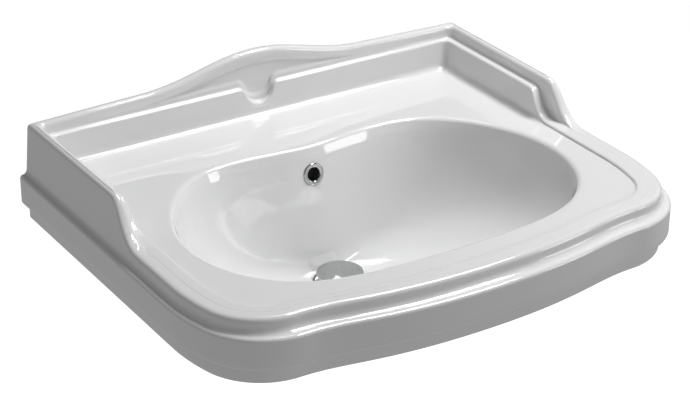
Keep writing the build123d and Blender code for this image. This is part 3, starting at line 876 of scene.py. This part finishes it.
    def panel(self) -> None:
        """Rings of the inner faces, with the sunk panel in the middle of the splashback."""
        upper = self.plan(PlanShape(26.8, 31.8, 13.0, 9.0, 64.6))
        width = np.abs(upper[:, 0])
        middle = (upper[:, 1] > -14) & (width < 305)
        ceiling = self.top(upper) - self.inner_r * np.clip((self.top(upper) - self.ledge(upper)) / 12.0, 0, 1)
        floor_line = self.plan(PlanShape(27.4, 32.4, 13.8, 9.0, 64.0))
        floor = self.ledge(floor_line)
        high = np.where(middle, self.crest(upper[:, 0]) - 13.6, 0)
        low = np.where(middle, floor + 6.5, 0)
        gap = np.clip(high - low, 0, None)
        deep = np.minimum(3.0, gap * 0.25) * middle
        share = np.linspace(0, 1, 8)
        spare = ceiling - 0.35 * (ceiling - floor)
        open_high = np.where(gap > 0.4, high, np.where(middle, (high + low) / 2, spare))
        open_low = np.where(gap > 0.4, low, np.where(middle, (high + low) / 2, spare))
        open_high = np.clip(open_high, floor + 0.12 * (ceiling - floor), ceiling - 0.05 * (ceiling - floor))
        open_low = np.clip(open_low, floor + 0.08 * (ceiling - floor), open_high)
        edge = np.minimum(5.2, np.clip(open_high - open_low, 0, None) * 0.38)
        rows = [(ceiling + (open_high - ceiling) * 0.5, 0.0), (open_high + 0.25, 0.0),
                (open_high - 0.12 * edge, 0.08), (open_high - 0.5 * edge, 0.5),
                (open_high - 0.88 * edge, 0.92), (open_high - edge - 0.2, 1.0)]
        body_low, body_high = open_low + edge, open_high - edge
        for s in share[1:-1:2]:
            rows.append((body_high + (body_low - body_high) * s, 1.0))
        rows += [(open_low + edge + 0.2, 1.0), (open_low + 0.88 * edge, 0.92), (open_low + 0.5 * edge, 0.5),
                 (open_low + 0.12 * edge, 0.08), (open_low - 0.25, 0.0)]
        previous = ceiling - 0.02
        for height, sunk in rows:
            height = np.minimum(height, previous - 0.01)
            along = np.clip((ceiling - height) / np.maximum(ceiling - floor, 0.5), 0, 1)
            line = upper + (floor_line - upper) * along[:, None]
            line[:, 1] += deep * sunk
            self.put(line, height)
            previous = height
        self.ledge_rings(floor)

    def ledge_rings(self, floor: np.ndarray) -> None:
        """Rings of the hollow foot of the inner faces, the ledge, its nose and the wall below.

        Args:
            floor: height of the ledge at the foot of the inner faces.
        """
        for angle in (0, 30, 60, 90):
            a = math.radians(angle)
            over = self.floor_r * (1 - math.cos(a))
            line = self.plan(PlanShape(27.4 + over, 32.4 + over, 13.8 + 0.8 * over, 9.0, 63.0 - over))
            room = np.clip((self.top(line) - self.ledge(line)) / 12.0, 0, 1)
            self.put(line, self.ledge(line) + self.floor_r * (1 - math.sin(a)) * room)
        nose = self.nose
        for angle in (0, 18, 36, 54, 72, 90):
            a = math.radians(angle)
            over = nose * math.sin(a)
            line = self.leaning(43.0 - nose + over, 45.5 - nose + over, -self.inward(), 0, 9.0, 54.0 - over)
            line[:, 1] -= self.back_run(line, 24.5 - nose + over, -self.inward())
            self.put(line, self.ledge(line) - nose * (1 - math.cos(a)))
        self.deck()

    def inward(self) -> np.ndarray:
        """How far the wall below the ledge leans outwards at its top, at each station."""
        line = self.plan(PlanShape(43.0, 45.5, 20.0, 6.5, 51.0))
        return (self.ledge(line) - self.deck_z - 4.5) * math.tan(math.radians(self.inner_lean))

    def back_run(self, line: np.ndarray, back: float, lean: np.ndarray) -> np.ndarray:
        """Distance to move each station so that the back stretch keeps its own distance from the wall."""
        share = np.clip((line[:, 1] + 200.0) / 200.0, 0, 1)
        return (back + lean) * share

    def deck(self) -> None:
        """Rings of the wall below the ledge, its hollow foot, and the deck."""
        lean = self.inward()
        for share in (0.3, 0.62, 0.9):
            line = self.leaning(43.0, 45.5, -lean * (1 - share), 0, 8.0, 51.0)
            line[:, 1] -= self.back_run(line, 24.5, -lean * (1 - share))
            top = self.ledge(line) - self.nose
            foot = self.deck_z + np.minimum(self.foot_r, (top - self.deck_z) * 0.9)
            self.put(line, top + (foot - top) * share)
        for angle in (15, 32, 50, 68, 90):
            a = math.radians(angle)
            over = 8.5 * (1 - math.cos(a))
            line = self.leaning(43.0 + over, 45.5 + over, np.zeros(len(lean)), 0, 10.0, 51.0 - over)
            line[:, 1] -= self.back_run(line, 24.5 + over, np.zeros(len(lean)))
            top = self.ledge(line) - self.nose
            foot = np.minimum(self.foot_r, (top - self.deck_z) * 0.9)
            self.put(line, self.deck_z + foot * (1 - math.sin(a)))

    def aim(self) -> None:
        """Set the directions in which every bowl line is read, from the edge of the deck."""
        line = self.plan(PlanShape(51.5, 54.0, 33.0, 10.0, 42.5))
        self.directions = np.arctan2(line[:, 0], line[:, 1] + 303.5)

    def bowl(self) -> None:
        """Rings from the deck over the bowl's edge, down its wall and across its floor."""
        inner = self.rings[-1][:, :2]
        edge = self.bowl_line(self.bowl_edge, 6.6)
        for share in (0.12, 0.32, 0.55, 0.78, 0.93):
            self.put(inner + (edge - inner) * share, self.deck_z)
        for angle in (0, 14, 28, 42, 56, 70, 82):
            a = math.radians(angle)
            over = 6.6 - 6.4 * math.sin(a)
            line = self.bowl_line(self.bowl_edge, over - 0.25 * math.sin(a))
            self.put(line, self.deck_z - 6.4 * (1 - math.cos(a)))
        table = np.array(self.levels)
        path = np.concatenate([[0], np.cumsum(np.hypot(np.diff(table[:, 0]), np.diff(table[:, 1])))])
        for distance in np.linspace(12.0, path[-1], 34):
            z, half, back, front = (spline_value(path, table[:, k], distance) for k in range(4))
            roundness = float(np.clip((-80.0 - z) / 30.0, 0, 1)) ** 1.5
            self.put(self.bowl_line((half, back, front), 0.0, roundness), z)
        for share, z in ((0.25, -105.75), (0.5, -106.1), (0.75, -106.3), (0.93, -106.5), (1.0, -107.3)):
            size = (66 + (35.2 - 66) * share, 182 + (185.8 - 182) * share, 268 + (256.2 - 268) * share)
            self.put(self.bowl_line(size, 0.0, 0.55 + 0.45 * share), z)

    def drain_hole(self) -> None:
        """Rings of the recess for the waste, the hole through the boss and the boss itself."""
        for radius, z in ((35.0, -111.0), (34.5, -111.5), (24.0, -111.5), (23.15, -112.3), (23.15, -156.6),
                          (24.0, -157.5), (34.5, -157.5), (36.0, -156.0), (36.0, -130.0)):
            self.put(self.bowl_line((radius, 221 - radius, 221 + radius), 0.0, 1.0), z)

    def shell_rings(self) -> None:
        """Rings of the bowl's outer side, from the boss up to the underside of the deck."""
        table = np.array(self.levels)
        path = np.concatenate([[0], np.cumsum(np.hypot(np.diff(table[:, 0]), np.diff(table[:, 1])))])
        for distance in np.linspace(path[-1], 4.0, 18):
            z, half, back, front = (spline_value(path, table[:, k], distance) for k in range(4))
            roundness = float(np.clip((-80.0 - z) / 30.0, 0, 1)) ** 1.5
            line = self.bowl_line((half, back, front), self.shell[0], roundness)
            self.put(line, min(z - self.shell[1], 41.0))
        edge = self.rings[-1][:, :2]
        outer = self.plan(PlanShape(24.0, 26.0, 18.0, 5.0, 72.0))
        for share in (0.04, 0.3, 0.6, 0.96):
            self.put(edge + (outer - edge) * share, 42.0)

    def build(self) -> bpy.types.Object:
        """Make the whole casting.

        Returns:
            The closed casting, with its fixing plate, overflow duct and holes.
        """
        self.aim()
        self.outside()
        self.rim()
        self.bowl()
        self.drain_hole()
        self.shell_rings()
        stack = np.concatenate(self.rings)
        count = len(self.rings[0])
        piece = mesh_piece("casting", stack, grid_faces(len(self.rings), count, True))
        LOG.info("casting: %d rings of %d stations", len(self.rings), count)
        cut(piece, self.back_plate(), "UNION")
        cut(piece, self.duct((50.0, 15.0, 11.0), "duct", 30.0, 0), "UNION")
        cut(piece, self.duct((34.0, 7.0, 5.0), "duct_room", 26.0, 4), "DIFFERENCE")
        for name, radius, low, high in (("overflow_hole", 10.8, -21.0, 6.0),
                                        ("overflow_seat", 15.1, -1.0, 8.0)):
            profile = [(0, low), (radius, low), (radius, high), (0, high)]
            cut(piece, turned(name, profile, Overflow.axis(), 64, False), "DIFFERENCE")
        for side in (-1, 1):
            place = Matrix.Translation((140.0 * side, 2.0, 0)) @ Matrix.Rotation(math.radians(90), 4, "X")
            cut(piece, turned("hole", [(0, 0), (8.0, 0), (8.0, 22), (0, 22)], place, 48, False), "DIFFERENCE")
        piece.data.shade_smooth()
        sharpen(piece, 38.0)
        return piece

    def back_plate(self) -> bpy.types.Object:
        """Plate behind the bowl that the wall fixings go through."""
        outline = []
        corners = ((174.0, 24.0), (-174.0, 24.0), (-174.0, -54.0), (174.0, -54.0))
        for turn, corner in enumerate(corners):
            outline += arc(corner, 15.9, 90 * turn, 90 * turn + 90, 10)
        rows = [(0.0, 1.2), (-1.2, 0.0), (-14.9, 0.0), (-15.9, 1.2)]
        points = []
        for y, inset in rows:
            points += [(x * (1 - inset / 190), y - 0.05, (z + 14.0) * (1 - inset / 56) - 14.0)
                       for x, z in outline]
        count = len(outline)
        faces = grid_faces(len(rows), count, False)
        faces += [list(range(count)), list(range((len(rows) - 1) * count, len(rows) * count))]
        return mesh_piece("back_plate", np.array(points), faces)

    def duct(self, size: tuple[float, float, float], name: str, top: float, skip: int) -> bpy.types.Object:
        """Rounded tube down the back of the bowl, from behind the overflow to the drain.

        Args:
            size: width, and thickness behind and in front of its line.
            name: name of the piece.
            top: height of its upper end.
            skip: points left off its lower end.

        Returns:
            The closed tube.
        """
        knots = np.array([(-137.0, 44.0), (-146.0, -17.0), (-157.0, -69.0), (-176.0, -111.5),
                          (-203.0, -142.0)])
        line = smooth_line(knots, (-0.15, -1), (-0.7, -0.7), 8)
        line = line[: len(line) - skip]
        line = line[line[:, 1] < top + 8]
        width, behind, before = size
        along = np.gradient(line, axis=0)
        along /= np.linalg.norm(along, axis=1)[:, None]
        points = []
        for (y, z), (dy, dz) in zip(line, along):
            for step in range(28):
                a = 2 * math.pi * step / 28
                across = width / 2 * math.copysign(abs(math.cos(a)) ** 0.5, math.cos(a))
                out = math.copysign(abs(math.sin(a)) ** 0.5, math.sin(a))
                out *= behind if out > 0 else before
                points.append((across, y - dz * out, z + dy * out))
        rows = len(line)
        faces = grid_faces(rows, 28, False) + [list(range(28)), list(range((rows - 1) * 28, rows * 28))]
        return mesh_piece(name, np.array(points), faces)


def bezier(ends: list, share: float) -> tuple[float, float]:
    """Point of a cubic Bezier curve.

    Args:
        ends: its four control points.
        share: 0 at the start and 1 at the end.

    Returns:
        The point.
    """
    a, b, c, d = (1 - share) ** 3, 3 * share * (1 - share) ** 2, 3 * share**2 * (1 - share), share**3
    return (a * ends[0][0] + b * ends[1][0] + c * ends[2][0] + d * ends[3][0],
            a * ends[0][1] + b * ends[1][1] + c * ends[2][1] + d * ends[3][1])


def slopes(knots: np.ndarray, values: np.ndarray, first: float | None, last: float | None) -> np.ndarray:
    """Slopes of a cubic spline at its knots.

    Args:
        knots: rising positions.
        values: value at each.
        first: slope at the start, or None for a free end.
        last: slope at the end, or None for a free end.

    Returns:
        Slope at each knot.
    """
    count, gap = len(knots), np.diff(knots)
    rise = np.diff(values) / gap
    matrix, right = np.zeros((count, count)), np.zeros(count)
    for k in range(1, count - 1):
        matrix[k, k - 1:k + 2] = (gap[k], 2 * (gap[k - 1] + gap[k]), gap[k - 1])
        right[k] = 3 * (gap[k] * rise[k - 1] + gap[k - 1] * rise[k])
    matrix[0, :2], right[0] = ((2, 1), 3 * rise[0]) if first is None else ((1, 0), first)
    matrix[-1, -2:], right[-1] = ((1, 2), 3 * rise[-1]) if last is None else ((0, 1), last)
    return np.linalg.solve(matrix, right)


def spline_value(knots: np.ndarray, values: np.ndarray, place: float) -> float:
    """Value of a smooth cubic spline through points.

    Args:
        knots: rising positions.
        values: value at each.
        place: where the value is wanted.

    Returns:
        The value.
    """
    slope = slopes(knots, values, None, None)
    k = int(np.clip(np.searchsorted(knots, place) - 1, 0, len(knots) - 2))
    gap = knots[k + 1] - knots[k]
    t = (place - knots[k]) / gap
    return float((2 * t**3 - 3 * t**2 + 1) * values[k] + (t**3 - 2 * t**2 + t) * gap * slope[k]
                 + (3 * t**2 - 2 * t**3) * values[k + 1] + (t**3 - t**2) * gap * slope[k + 1])


def smooth_line(knots: np.ndarray, first: tuple, last: tuple, spans: int) -> np.ndarray:
    """Smooth line through points, with set directions at its ends.

    Args:
        knots: rows of two coordinates.
        first: direction at the start.
        last: direction at the end.
        spans: spans between two knots.

    Returns:
        Rows of the line's points.
    """
    path = np.concatenate([[0], np.cumsum(np.linalg.norm(np.diff(knots, axis=0), axis=1))])
    found = []
    for axis in (0, 1):
        slope = slopes(path, knots[:, axis], first[axis], last[axis])
        line = []
        for k in range(len(path) - 1):
            gap = path[k + 1] - path[k]
            t = np.linspace(0, 1, spans, endpoint=False)
            line.append((2 * t**3 - 3 * t**2 + 1) * knots[k, axis] + (t**3 - 2 * t**2 + t) * gap * slope[k]
                        + (3 * t**2 - 2 * t**3) * knots[k + 1, axis] + (t**3 - t**2) * gap * slope[k + 1])
        found.append(np.append(np.concatenate(line), knots[-1, axis]))
    return np.stack(found, axis=1)


# ---- overflow --------------------------------------------------------------------------------------
@dataclass
class Overflow:
    """Chrome ring of the overflow, with its sleeve."""

    ring_r: float = 14.5
    bore_r: float = 9.0
    sleeve_r: float = 10.2
    sleeve: float = 9.0

    @staticmethod
    def axis() -> Matrix:
        """Axis of the overflow, leaning with the bowl's back wall."""
        return Matrix.Translation((0, -155.2, 18.3)) @ Matrix.Rotation(math.radians(90 - 14), 4, "X")

    def build(self) -> bpy.types.Object:
        """Turn the ring, with a rolled outer edge and a flared mouth."""
        profile = arc((self.ring_r - 1.1, 1.1), 1.1, -90, 90, 10)
        profile += [(12.6, 2.18), (11.2, 1.95)]
        profile += arc((self.bore_r + 1.4, 0.5), 1.4, 90, 180, 8)
        profile += [(self.bore_r, -self.sleeve), (self.sleeve_r, -self.sleeve), (self.sleeve_r, 0.0)]
        return turned("overflow_trim", profile, self.axis(), 96)

    def painted_shade_cup(self) -> bpy.types.Object:
        """Turn a black rubber cup behind the sleeve as painted shade: it hides the duct's white inside so
        that the overflow reads as dark as the shade deep in a real duct.
        """
        mouth, back = -self.sleeve - 0.1, -self.sleeve - 7.5
        profile = [(0, back), (9.6, back), (10.4, back + 0.8), (10.6, mouth), (9.3, mouth), (8.8, back + 2.2),
                   (7.8, back + 1.2), (0, back + 1.2)]
        return turned("overflow_painted_shade_cup", profile, self.axis(), 64, False)


# ---- waste -----------------------------------------------------------------------------------------
@dataclass
class Waste:
    """Waste fitting under the bowl: flange, threaded tail, seals, washer and nut."""

    top: float = -107.0
    end: float = -205.5
    tail_r: float = 20.95
    bore_r: float = 17.5
    flange_r: float = 33.5
    nut_flats: float = 56.0

    def body(self, tree: bpy.types.NodeTree) -> bpy.types.Object:
        """Make the flange, the throat and the slotted, threaded tail.

        Args:
            tree: node tree of the thread.

        Returns:
            The waste's body.
        """
        core = self.tail_r - 0.95
        profile = [(self.bore_r, self.end), (core - 0.6, self.end), (core, self.end + 0.8), (core, -110.0)]
        profile += [(self.flange_r - 0.4, -110.0)] + arc((self.flange_r - 1.4, self.top - 1.4), 1.4, 0, 90, 6)
        profile += arc((21.6, self.top - 1.2), 1.2, 90, 165, 5)
        profile += [(19.3, self.top - 5.0), (18.0, self.top - 9.0), (self.bore_r, self.top - 12.0)]
        piece = turned("waste_fitting", profile, drain_axis(), 96)
        for turn in (0, 1):
            cut(piece, self.slot(turn), "DIFFERENCE")
        spider = self.spider()
        low = Matrix.Translation((0, DRAIN[1], self.end + 2.2))
        high = Matrix.Translation((0, DRAIN[1], -176.9))
        threads = [Thread(self.tail_r, 2.309, 24.6, 0.95).build("tail_thread", tree, low),
                   Thread(self.tail_r - 0.25, 2.309, 60.0, 0.75).build("shank_thread", tree, high)]
        sharpen(piece)
        return joined("waste_fitting_whole", [piece, spider, *threads])

    def slot(self, turn: int) -> bpy.types.Object:
        """Cutter for one pair of overflow slots through the tail."""
        long, wide = (30.0, 8.0) if turn else (8.0, 30.0)
        outline = []
        for sx, sz, start in ((1, 1, 0), (-1, 1, 90), (-1, -1, 180), (1, -1, 270)):
            outline += arc((sx * 5.0, sz * 4.0 - 140.1), 3.0, start, start + 90, 6)
        across = long if turn else wide
        points = []
        for reach in (-across, across):
            points += [((x, reach + DRAIN[1], z) if not turn else (reach, x + DRAIN[1], z))
                       for x, z in outline]
        count = len(outline)
        faces = grid_faces(2, count, False) + [list(range(count)), list(range(count, 2 * count))]
        return mesh_piece("slot", np.array(points), faces)

    def spider(self) -> bpy.types.Object:
        """Cross that holds the cartridge in the tail."""
        profile = [(7.1, -131.1), (9.0, -131.1), (9.5, -130.6), (9.5, -123.6), (9.0, -123.1), (7.1, -123.1)]
        hub = turned("hub", profile, drain_axis(), 64)
        arms = []
        for step in range(4):
            way = Matrix.Translation((0, DRAIN[1], 0)) @ Matrix.Rotation(math.radians(90 * step), 4, "Z")
            section = [(-2.5, -131.1), (2.5, -131.1), (2.5, -124.0), (1.6, -123.1), (-1.6, -123.1),
                       (-2.5, -124.0)]
            points = [tuple(way @ Vector((x, y, z))) for x in (9.2, 17.9) for y, z in section]
            faces = grid_faces(2, 6, False) + [list(range(6)), list(range(6, 12))]
            arms.append(mesh_piece("arm", np.array(points), faces))
        return joined("spider", [hub, *arms])

    def lower_seal(self) -> bpy.types.Object:
        """Tapered rubber seal between boss and washer."""
        profile = [(21.05, -163.5), (31.4, -163.5), (32.0, -162.9), (31.9, -159.2), (30.6, -157.7),
                   (28.0, -157.5), (21.05, -157.5)]
        return turned("lower_seal_ring", profile, drain_axis(), 96)

    def slip_washer(self) -> bpy.types.Object:
        """Nylon washer over the nut."""
        profile = [(21.05, -165.5), (30.6, -165.5), (31.0, -165.1), (31.0, -163.9), (30.6, -163.5),
                   (21.05, -163.5)]
        return turned("slip_washer_ring", profile, drain_axis(), 96)

    def backnut(self) -> bpy.types.Object:
        """Brass nut with its corners turned off and a small chamfer in its bore."""
        return hexagon("backnut_hex", self.nut_flats, 21.0, -177.5, -165.5, drain_axis())


def hexagon(name: str, flats: float, bore: float, low: float, high: float, place: Matrix) -> bpy.types.Object:
    """Hexagon nut whose corners are turned off in a cone.

    Args:
        name: name of the piece.
        flats: width across its flats.
        bore: radius of its hole.
        low: height of its lower face.
        high: height of its upper face.
        place: position of its axis, in millimetres.

    Returns:
        The nut.
    """
    spans = 96
    turns = [2 * math.pi * step / spans for step in range(spans)]
    reach = [flats / 2 / math.cos((a + math.pi / 6) % (math.pi / 3) - math.pi / 6) for a in turns]
    cone = flats / 2 * 0.97
    rows = [[(bore + 0.5, low)] * spans, [(cone, low)] * spans,
            [(min(r, flats * 0.56), low + max(0.05, (min(r, flats * 0.56) - cone) * 0.5)) for r in reach],
            [(min(r, flats * 0.56), high - max(0.05, (min(r, flats * 0.56) - cone) * 0.5)) for r in reach],
            [(cone, high)] * spans, [(bore + 0.5, high)] * spans, [(bore, high - 0.5)] * spans,
            [(bore, low + 0.5)] * spans]
    points = [tuple(place @ Vector((r * math.cos(a), r * math.sin(a), z)))
              for row in rows for (r, z), a in zip(row, turns)]
    piece = mesh_piece(name, np.array(points), grid_faces(len(rows), spans, True))
    sharpen(piece, 20.0)
    return piece


# ---- plug ------------------------------------------------------------------------------------------
@dataclass
class Plug:
    """Raised cap of the click plug."""

    radius: float = 31.3
    under: float = -98.1
    edge: float = 4.0
    dome: float = 2.5

    def cap(self) -> bpy.types.Object:
        """Turn the domed cap with its rolled edge and hollow underside."""
        rim = self.under + self.edge
        profile = [(0, self.under), (4.05, self.under), (4.05, self.under - 5), (7.6, self.under - 5),
                   (8.0, self.under - 4.6), (8.0, self.under), (29.4, self.under)]
        profile += arc((self.radius - 1.4, self.under + 1.4), 1.4, -80, 0, 6)
        profile += arc((self.radius - 1.9, rim - 1.9), 1.9, 0, 76, 8)
        ball = (29.6**2 + self.dome**2) / (2 * self.dome)
        for step in range(1, 25):
            r = 29.2 * (1 - step / 24)
            profile.append((r, rim + self.dome - ball + math.sqrt(ball**2 - r**2)))
        return turned("plug_dome", profile, drain_axis(), 128, False)


# ---- wall fixings ----------------------------------------------------------------------------------
@dataclass
class WallFixings:
    """Two studs with their sleeved washers, steel washers and nuts."""

    spacing: float = 280.0
    stud_r: float = 5.0
    out: float = 44.0
    inside: float = 60.0

    def places(self) -> list[Matrix]:
        """Axes of the two studs, looking out of the wall."""
        turn = Matrix.Rotation(math.radians(90), 4, "X")
        return [Matrix.Translation((side * self.spacing / 2, 0, 0)) @ turn for side in (-1, 1)]

    def studs(self, tree: bpy.types.NodeTree) -> bpy.types.Object:
        """Threaded studs with pointed ends.

        Args:
            tree: node tree of the thread.

        Returns:
            Both studs.
        """
        pieces = []
        core = self.stud_r - 0.75
        for number, place in enumerate(self.places()):
            profile = [(0, -self.inside), (core - 1.5, -self.inside), (core, -self.inside + 2.5),
                       (core, self.out - 1.2), (core - 1.0, self.out), (0, self.out)]
            pieces.append(turned(f"stud_{number}", profile, place, 40, False))
            for low, length, radius in ((-self.inside + 3.0, self.inside - 5.0, self.stud_r),
                                        (1.0, self.out - 4.0, self.stud_r - 0.2)):
                start = place @ Matrix.Translation((0, 0, low))
                thread = Thread(radius, 1.5, length, radius - core + 0.05)
                pieces.append(thread.build(f"stud_thread_{number}", tree, start))
        return joined("stud_pair", pieces)

    def shoulder_washers(self) -> bpy.types.Object:
        """Nylon washers with the sleeves that fill the holes."""
        profile = [(5.1, 1.0), (7.4, 1.0), (7.8, 1.4), (7.8, 16.0), (15.6, 16.0), (16.0, 16.5), (16.0, 19.2),
                   (15.2, 20.0), (5.1, 20.0)]
        return joined("sleeved_washers", [turned("sleeve", profile, place, 64) for place in self.places()])

    def steel_washers(self) -> bpy.types.Object:
        """Plain steel washers."""
        profile = [(5.3, 20.0), (11.7, 20.0), (12.0, 20.3), (12.0, 21.7), (11.7, 22.0), (5.3, 22.0)]
        return joined("flat_washers", [turned("washer", profile, place, 64) for place in self.places()])

    def nuts(self) -> bpy.types.Object:
        """Hexagon nuts."""
        return joined("hex_nuts", [hexagon("nut", 17.0, 5.05, 22.0, 30.0, place) for place in self.places()])


# ---- studio ----------------------------------------------------------------------------------------
@dataclass
class Studio:
    """Pale floor, soft lights, pale surroundings and the camera."""

    floor_z: float = -1.1
    background: float = 0.46
    above: float = 0.5
    below: float = 0.9
    dark_side: tuple[float, float, float] = (0.45, 0.62, 0.64)

    def floor(self) -> None:
        """Wide pale floor."""
        size = 30.0
        mesh = bpy.data.meshes.new("floor")
        sides = ((-size, -size), (size, -size), (size, size), (-size, size))
        corners = [(x, y, self.floor_z) for x, y in sides]
        mesh.from_pydata(corners, [], [(0, 1, 2, 3)])
        piece = bpy.data.objects.new("floor", mesh)
        bpy.context.collection.objects.link(piece)
        sheet = NodeSheet("floor_paint")
        sheet.tint(sheet.noise(2.0, 2.0), "Fac", (0.93, 0.93, 0.93), (0.95, 0.95, 0.95))
        sheet.set(Roughness=0.9, Emission_Color=(1.0, 1.0, 1.0, 1.0), Emission_Strength=0.75)
        mesh.materials.append(sheet.material)
        piece.visible_diffuse = False
        piece.visible_glossy = False

    def light(self, name: str, place: tuple, aim: tuple, size: tuple[float, float], power: float) -> None:
        """Add one soft light.

        Args:
            name: name of the light.
            place: where it hangs, in metres.
            aim: the point that it faces.
            size: width and height, in metres.
            power: its power in watts.
        """
        data = bpy.data.lights.new(name, "AREA")
        data.shape = "RECTANGLE"
        data.size, data.size_y = size
        data.energy = power
        lamp = bpy.data.objects.new(name, data)
        bpy.context.collection.objects.link(lamp)
        lamp.location = place
        lamp.rotation_euler = (Vector(aim) - Vector(place)).to_track_quat("-Z", "Y").to_euler()

    def world(self) -> None:
        """Pale surroundings, lit from below by the floor, with one dark side behind the basin."""
        world = bpy.data.worlds.new("surroundings")
        world.use_nodes = True
        bpy.context.scene.world = world
        tree = world.node_tree
        tree.nodes.clear()
        place = tree.nodes.new("ShaderNodeTexCoord")
        split = tree.nodes.new("ShaderNodeSeparateXYZ")
        level = tree.nodes.new("ShaderNodeMapRange")
        level.inputs["From Min"].default_value = -1.0
        ramp = tree.nodes.new("ShaderNodeValToRGB")
        ramp.color_ramp.elements[0].position = 0.42
        ramp.color_ramp.elements[0].color = (*[self.below] * 3, 1)
        ramp.color_ramp.elements[1].position = 0.54
        ramp.color_ramp.elements[1].color = (*[self.above] * 3, 1)
        turn = tree.nodes.new("ShaderNodeVectorMath")
        turn.operation = "DOT_PRODUCT"
        turn.inputs[1].default_value = Vector(self.dark_side).normalized()
        dark = tree.nodes.new("ShaderNodeMapRange")
        for socket, value in (("From Min", 0.78), ("From Max", 0.9), ("To Min", 1.0), ("To Max", 0.1)):
            dark.inputs[socket].default_value = value
        power = tree.nodes.new("ShaderNodeMath")
        power.operation = "MULTIPLY"
        power.inputs[1].default_value = self.background
        back = tree.nodes.new("ShaderNodeBackground")
        out = tree.nodes.new("ShaderNodeOutputWorld")
        link = tree.links.new
        link(place.outputs["Generated"], turn.inputs[0])
        link(turn.outputs["Value"], dark.inputs["Value"])
        link(dark.outputs["Result"], power.inputs[0])
        link(power.outputs["Value"], back.inputs["Strength"])
        link(place.outputs["Generated"], split.inputs[0])
        link(split.outputs["Z"], level.inputs["Value"])
        link(level.outputs["Result"], ramp.inputs["Fac"])
        link(ramp.outputs["Color"], back.inputs["Color"])
        link(back.outputs["Background"], out.inputs["Surface"])

    def camera(self) -> None:
        """Camera in front and to the left, looking down."""
        data = bpy.data.cameras.new("camera")
        data.lens = 107.43
        data.sensor_width = 36.0
        camera = bpy.data.objects.new("camera", data)
        bpy.context.collection.objects.link(camera)
        back = Vector((-0.48184, -0.74991, 0.45330)).normalized()
        camera.location = Vector((-0.10333, -0.39189, 0.10566)) + back * 2.3882
        turn = (-back).to_track_quat("-Z", "Y") @ Matrix.Rotation(math.radians(0.404), 4, "Z").to_quaternion()
        camera.rotation_mode = "QUATERNION"
        camera.rotation_quaternion = turn
        data.clip_start = 0.05
        data.clip_end = 60.0
        bpy.context.scene.camera = camera

    def build(self) -> None:
        """Make the whole studio."""
        self.camera()
        self.floor()
        self.world()
        self.light("overhead", (0.9, -0.4, 1.95), (0.0, -0.25, 0), (0.9, 0.7), 35.0)
        self.light("behind", (0.8, 0.4, 1.9), (0.0, -0.25, 0), (1.0, 0.12), 7.0)
        self.light("front", (1.7, -1.9, 0.5), (0.0, -0.4, 0), (0.5, 0.6), 5.0)
        bpy.context.scene.view_settings.view_transform = "Standard"


def place_piece(piece: bpy.types.Object, finishes: Finishes, slot: Slot, body: Body, *nodes: str) -> None:
    """Dress a piece, let it ride on its body and let it stand for nodes.

    Args:
        piece: the piece.
        finishes: all the finishes.
        slot: its record slot.
        body: the body that it rides on.
        nodes: nodes that it replaces.
    """
    finishes.dress(piece, slot)
    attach(piece, body.value)
    if nodes:
        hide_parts(*nodes)
    LOG.info("%s: %d faces, rides on %s", piece.name, len(piece.data.polygons), body.value)


def main() -> None:
    """Build every part of the scene in order."""
    logging.basicConfig(level=logging.INFO, format="%(message)s")
    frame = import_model()
    finishes = Finishes().build()
    Studio().build()
    chrome_tree = ThreadTree("tail_thread_nodes").build(finishes.made[Slot.CHROME])
    zinc_tree = ThreadTree("stud_thread_nodes").build(finishes.made[Slot.ZINC])

    place_piece(Casting().build(), finishes, Slot.GLAZE, Body.BASIN, "basin")
    overflow = Overflow()
    place_piece(overflow.build(), finishes, Slot.CHROME, Body.BASIN, "overflow_ring")
    # Painted shade: this black cup stands where the real overflow duct is only dark with shade.
    place_piece(overflow.painted_shade_cup(), finishes, Slot.RUBBER, Body.BASIN)
    waste = Waste()
    place_piece(waste.body(chrome_tree), finishes, Slot.CHROME, Body.BASIN, "waste_body")
    place_piece(waste.lower_seal(), finishes, Slot.RUBBER, Body.BASIN, "lower_seal")
    place_piece(waste.slip_washer(), finishes, Slot.NYLON, Body.BASIN, "slip_washer")
    place_piece(waste.backnut(), finishes, Slot.BRASS, Body.BASIN, "backnut")
    place_piece(Plug().cap(), finishes, Slot.CHROME, Body.PLUG, "plug_cap")
    fixings = WallFixings()
    place_piece(fixings.studs(zinc_tree), finishes, Slot.ZINC, Body.BASIN, "wall_studs")
    place_piece(fixings.shoulder_washers(), finishes, Slot.NYLON, Body.BASIN, "shoulder_washers")
    place_piece(fixings.steel_washers(), finishes, Slot.ZINC, Body.BASIN, "steel_washers")
    place_piece(fixings.nuts(), finishes, Slot.ZINC, Body.BASIN, "fixing_nuts")
    kept = {"overflow_gasket": Slot.RUBBER, "flange_seal": Slot.FOAM, "cartridge_body": Slot.BRASS,
            "cartridge_gland": Slot.BRASS, "latch_pin": Slot.STEEL, "cartridge_spring": Slot.STEEL,
            "plug_piston": Slot.BRASS, "plug_locknut": Slot.BRASS, "cap_seal": Slot.RUBBER}
    for node, slot in kept.items():
        finishes.dress_node(frame, node, slot)
    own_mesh(frame["nodes"]["cartridge_spring"])


if __name__ == "__main__":
    main()
